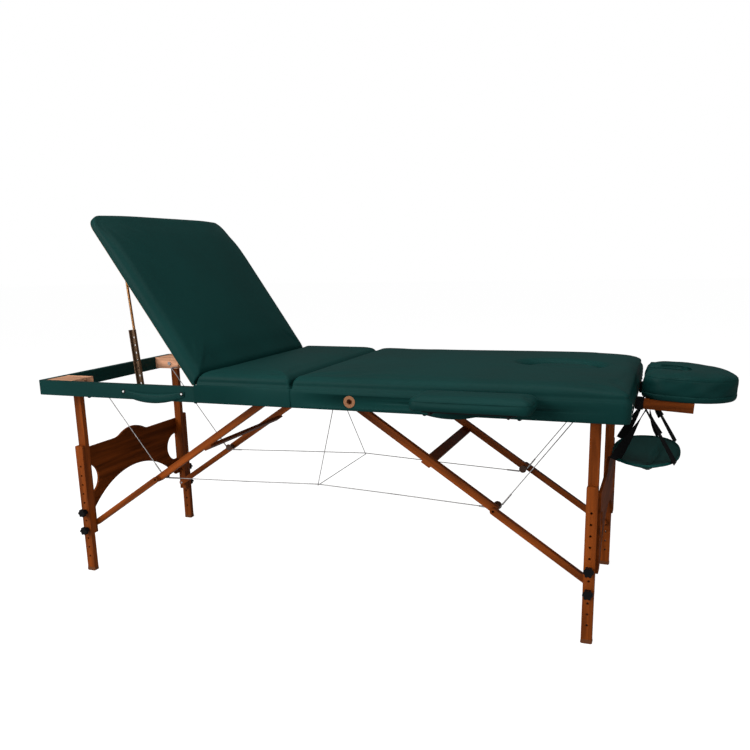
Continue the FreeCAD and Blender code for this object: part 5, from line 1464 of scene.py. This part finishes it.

# %% [markdown]
# The cables are drawn tight between the corner blocks and the hubs of the brace joints, and meet the cord
# triangle under the fold. Each run is a piece of its own. A run is a smooth spline with the hub's bend in
# it, given its thickness as a round tube.
# When the table folds, the slack runs of its halves would meet, so they drift a little to either side.

# %% Cables
CABLE_SIDE, CABLE_RADIUS, CORD_RADIUS = 0.205, 0.0015, 0.0012
SLEEVE_RADIUS, SLEEVE_START, SLEEVE_LONG = 0.0026, 0.012, 0.042
FOLD_LOW = 0.356
EYE = (0.8022, 0.6375)
BEND = 0.0088
DRIFT = 0.003


def hub_points(hand):
    """The eye, three points of the bend round the hub, a middle point and the fold, in X and Z."""
    x, z = HUB
    leave_z = z - BEND
    spots = [EYE, (x + BEND * 0.79, z - BEND * 0.62), (x + BEND * 0.38, z - BEND * 0.98), (x, leave_z),
             (x * 0.45, leave_z + (FOLD_LOW - leave_z) * 0.55), (0.0, FOLD_LOW)]
    return [(along(hand * spot_x), spot_z) for spot_x, spot_z in spots]


def both_sides(points, drift=None):
    """The near and far run through points in X and Z, each point drifting outwards by its own amount."""
    drift = drift or [0.0] * len(points)
    return [[(x, side_y * (CABLE_SIDE + out), z) for (x, z), out in zip(points, drift)]
            for side_y in (-1, 1)]


def cable_run(name, points, sleeve=None, drift=None):
    """Both sides' runs of cable, with a black sleeve from one point towards another if one is asked for."""
    parts = [(tube(name, both_sides(points, drift), CABLE_RADIUS), cable_steel)]
    if sleeve is not None:
        start, end = (Vector(place) for place in sleeve)
        way = (end - start).normalized()
        ends = [start + way * (SLEEVE_START + SLEEVE_LONG * share) for share in (0, 0.5, 1)]
        parts.append((tube(name + "_sleeve", both_sides(ends), SLEEVE_RADIUS), black_rubber))
    return joined(name, parts, None, smooth=True)


cable_pieces = []
for half_name, hand in (("left", LEFT), ("right", RIGHT)):
    eye, touch, low, leave, part, fold = hub_points(hand)
    drift = -hand * DRIFT
    eye_run = cable_run(half_name + "_eye_cables", [eye, touch, low], (touch, eye))
    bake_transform(eye_run)
    outer_run = cable_run(half_name + "_outer_cables", [low, leave, part], (leave, part), (0.0, 0.0, drift))
    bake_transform(outer_run)
    inner_run = cable_run(half_name + "_inner_cables", [part, fold], drift=(drift, 0.0))
    if hand == RIGHT:
        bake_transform(inner_run)
    else:
        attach(inner_run, "left_frame")
    cable_pieces += [eye_run, outer_run, inner_run]
APEX_X, APEX_SIDE, APEX_Z = along(-0.0125), 0.0024, 0.6288
CORD_Z = FOLD_LOW - 0.0037
cord_ends = [(along(0), side_y * CABLE_SIDE, CORD_Z) for side_y in (-1, 1)]
cord_lines = [[(APEX_X, side_y * APEX_SIDE, APEX_Z), end] for side_y, end in zip((-1, 1), cord_ends)]
cord_lines.append(cord_ends)
fold_cord = add_piece("fold_cord", tube("fold_cord", cord_lines, CORD_RADIUS), cable_steel, "left_frame")
cable_pieces.append(fold_cord)
for piece in cable_pieces:
    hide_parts("support_cables")
print("cable runs:", len(cable_pieces))

# %% [markdown]

# %% Finish
print("table dressed")
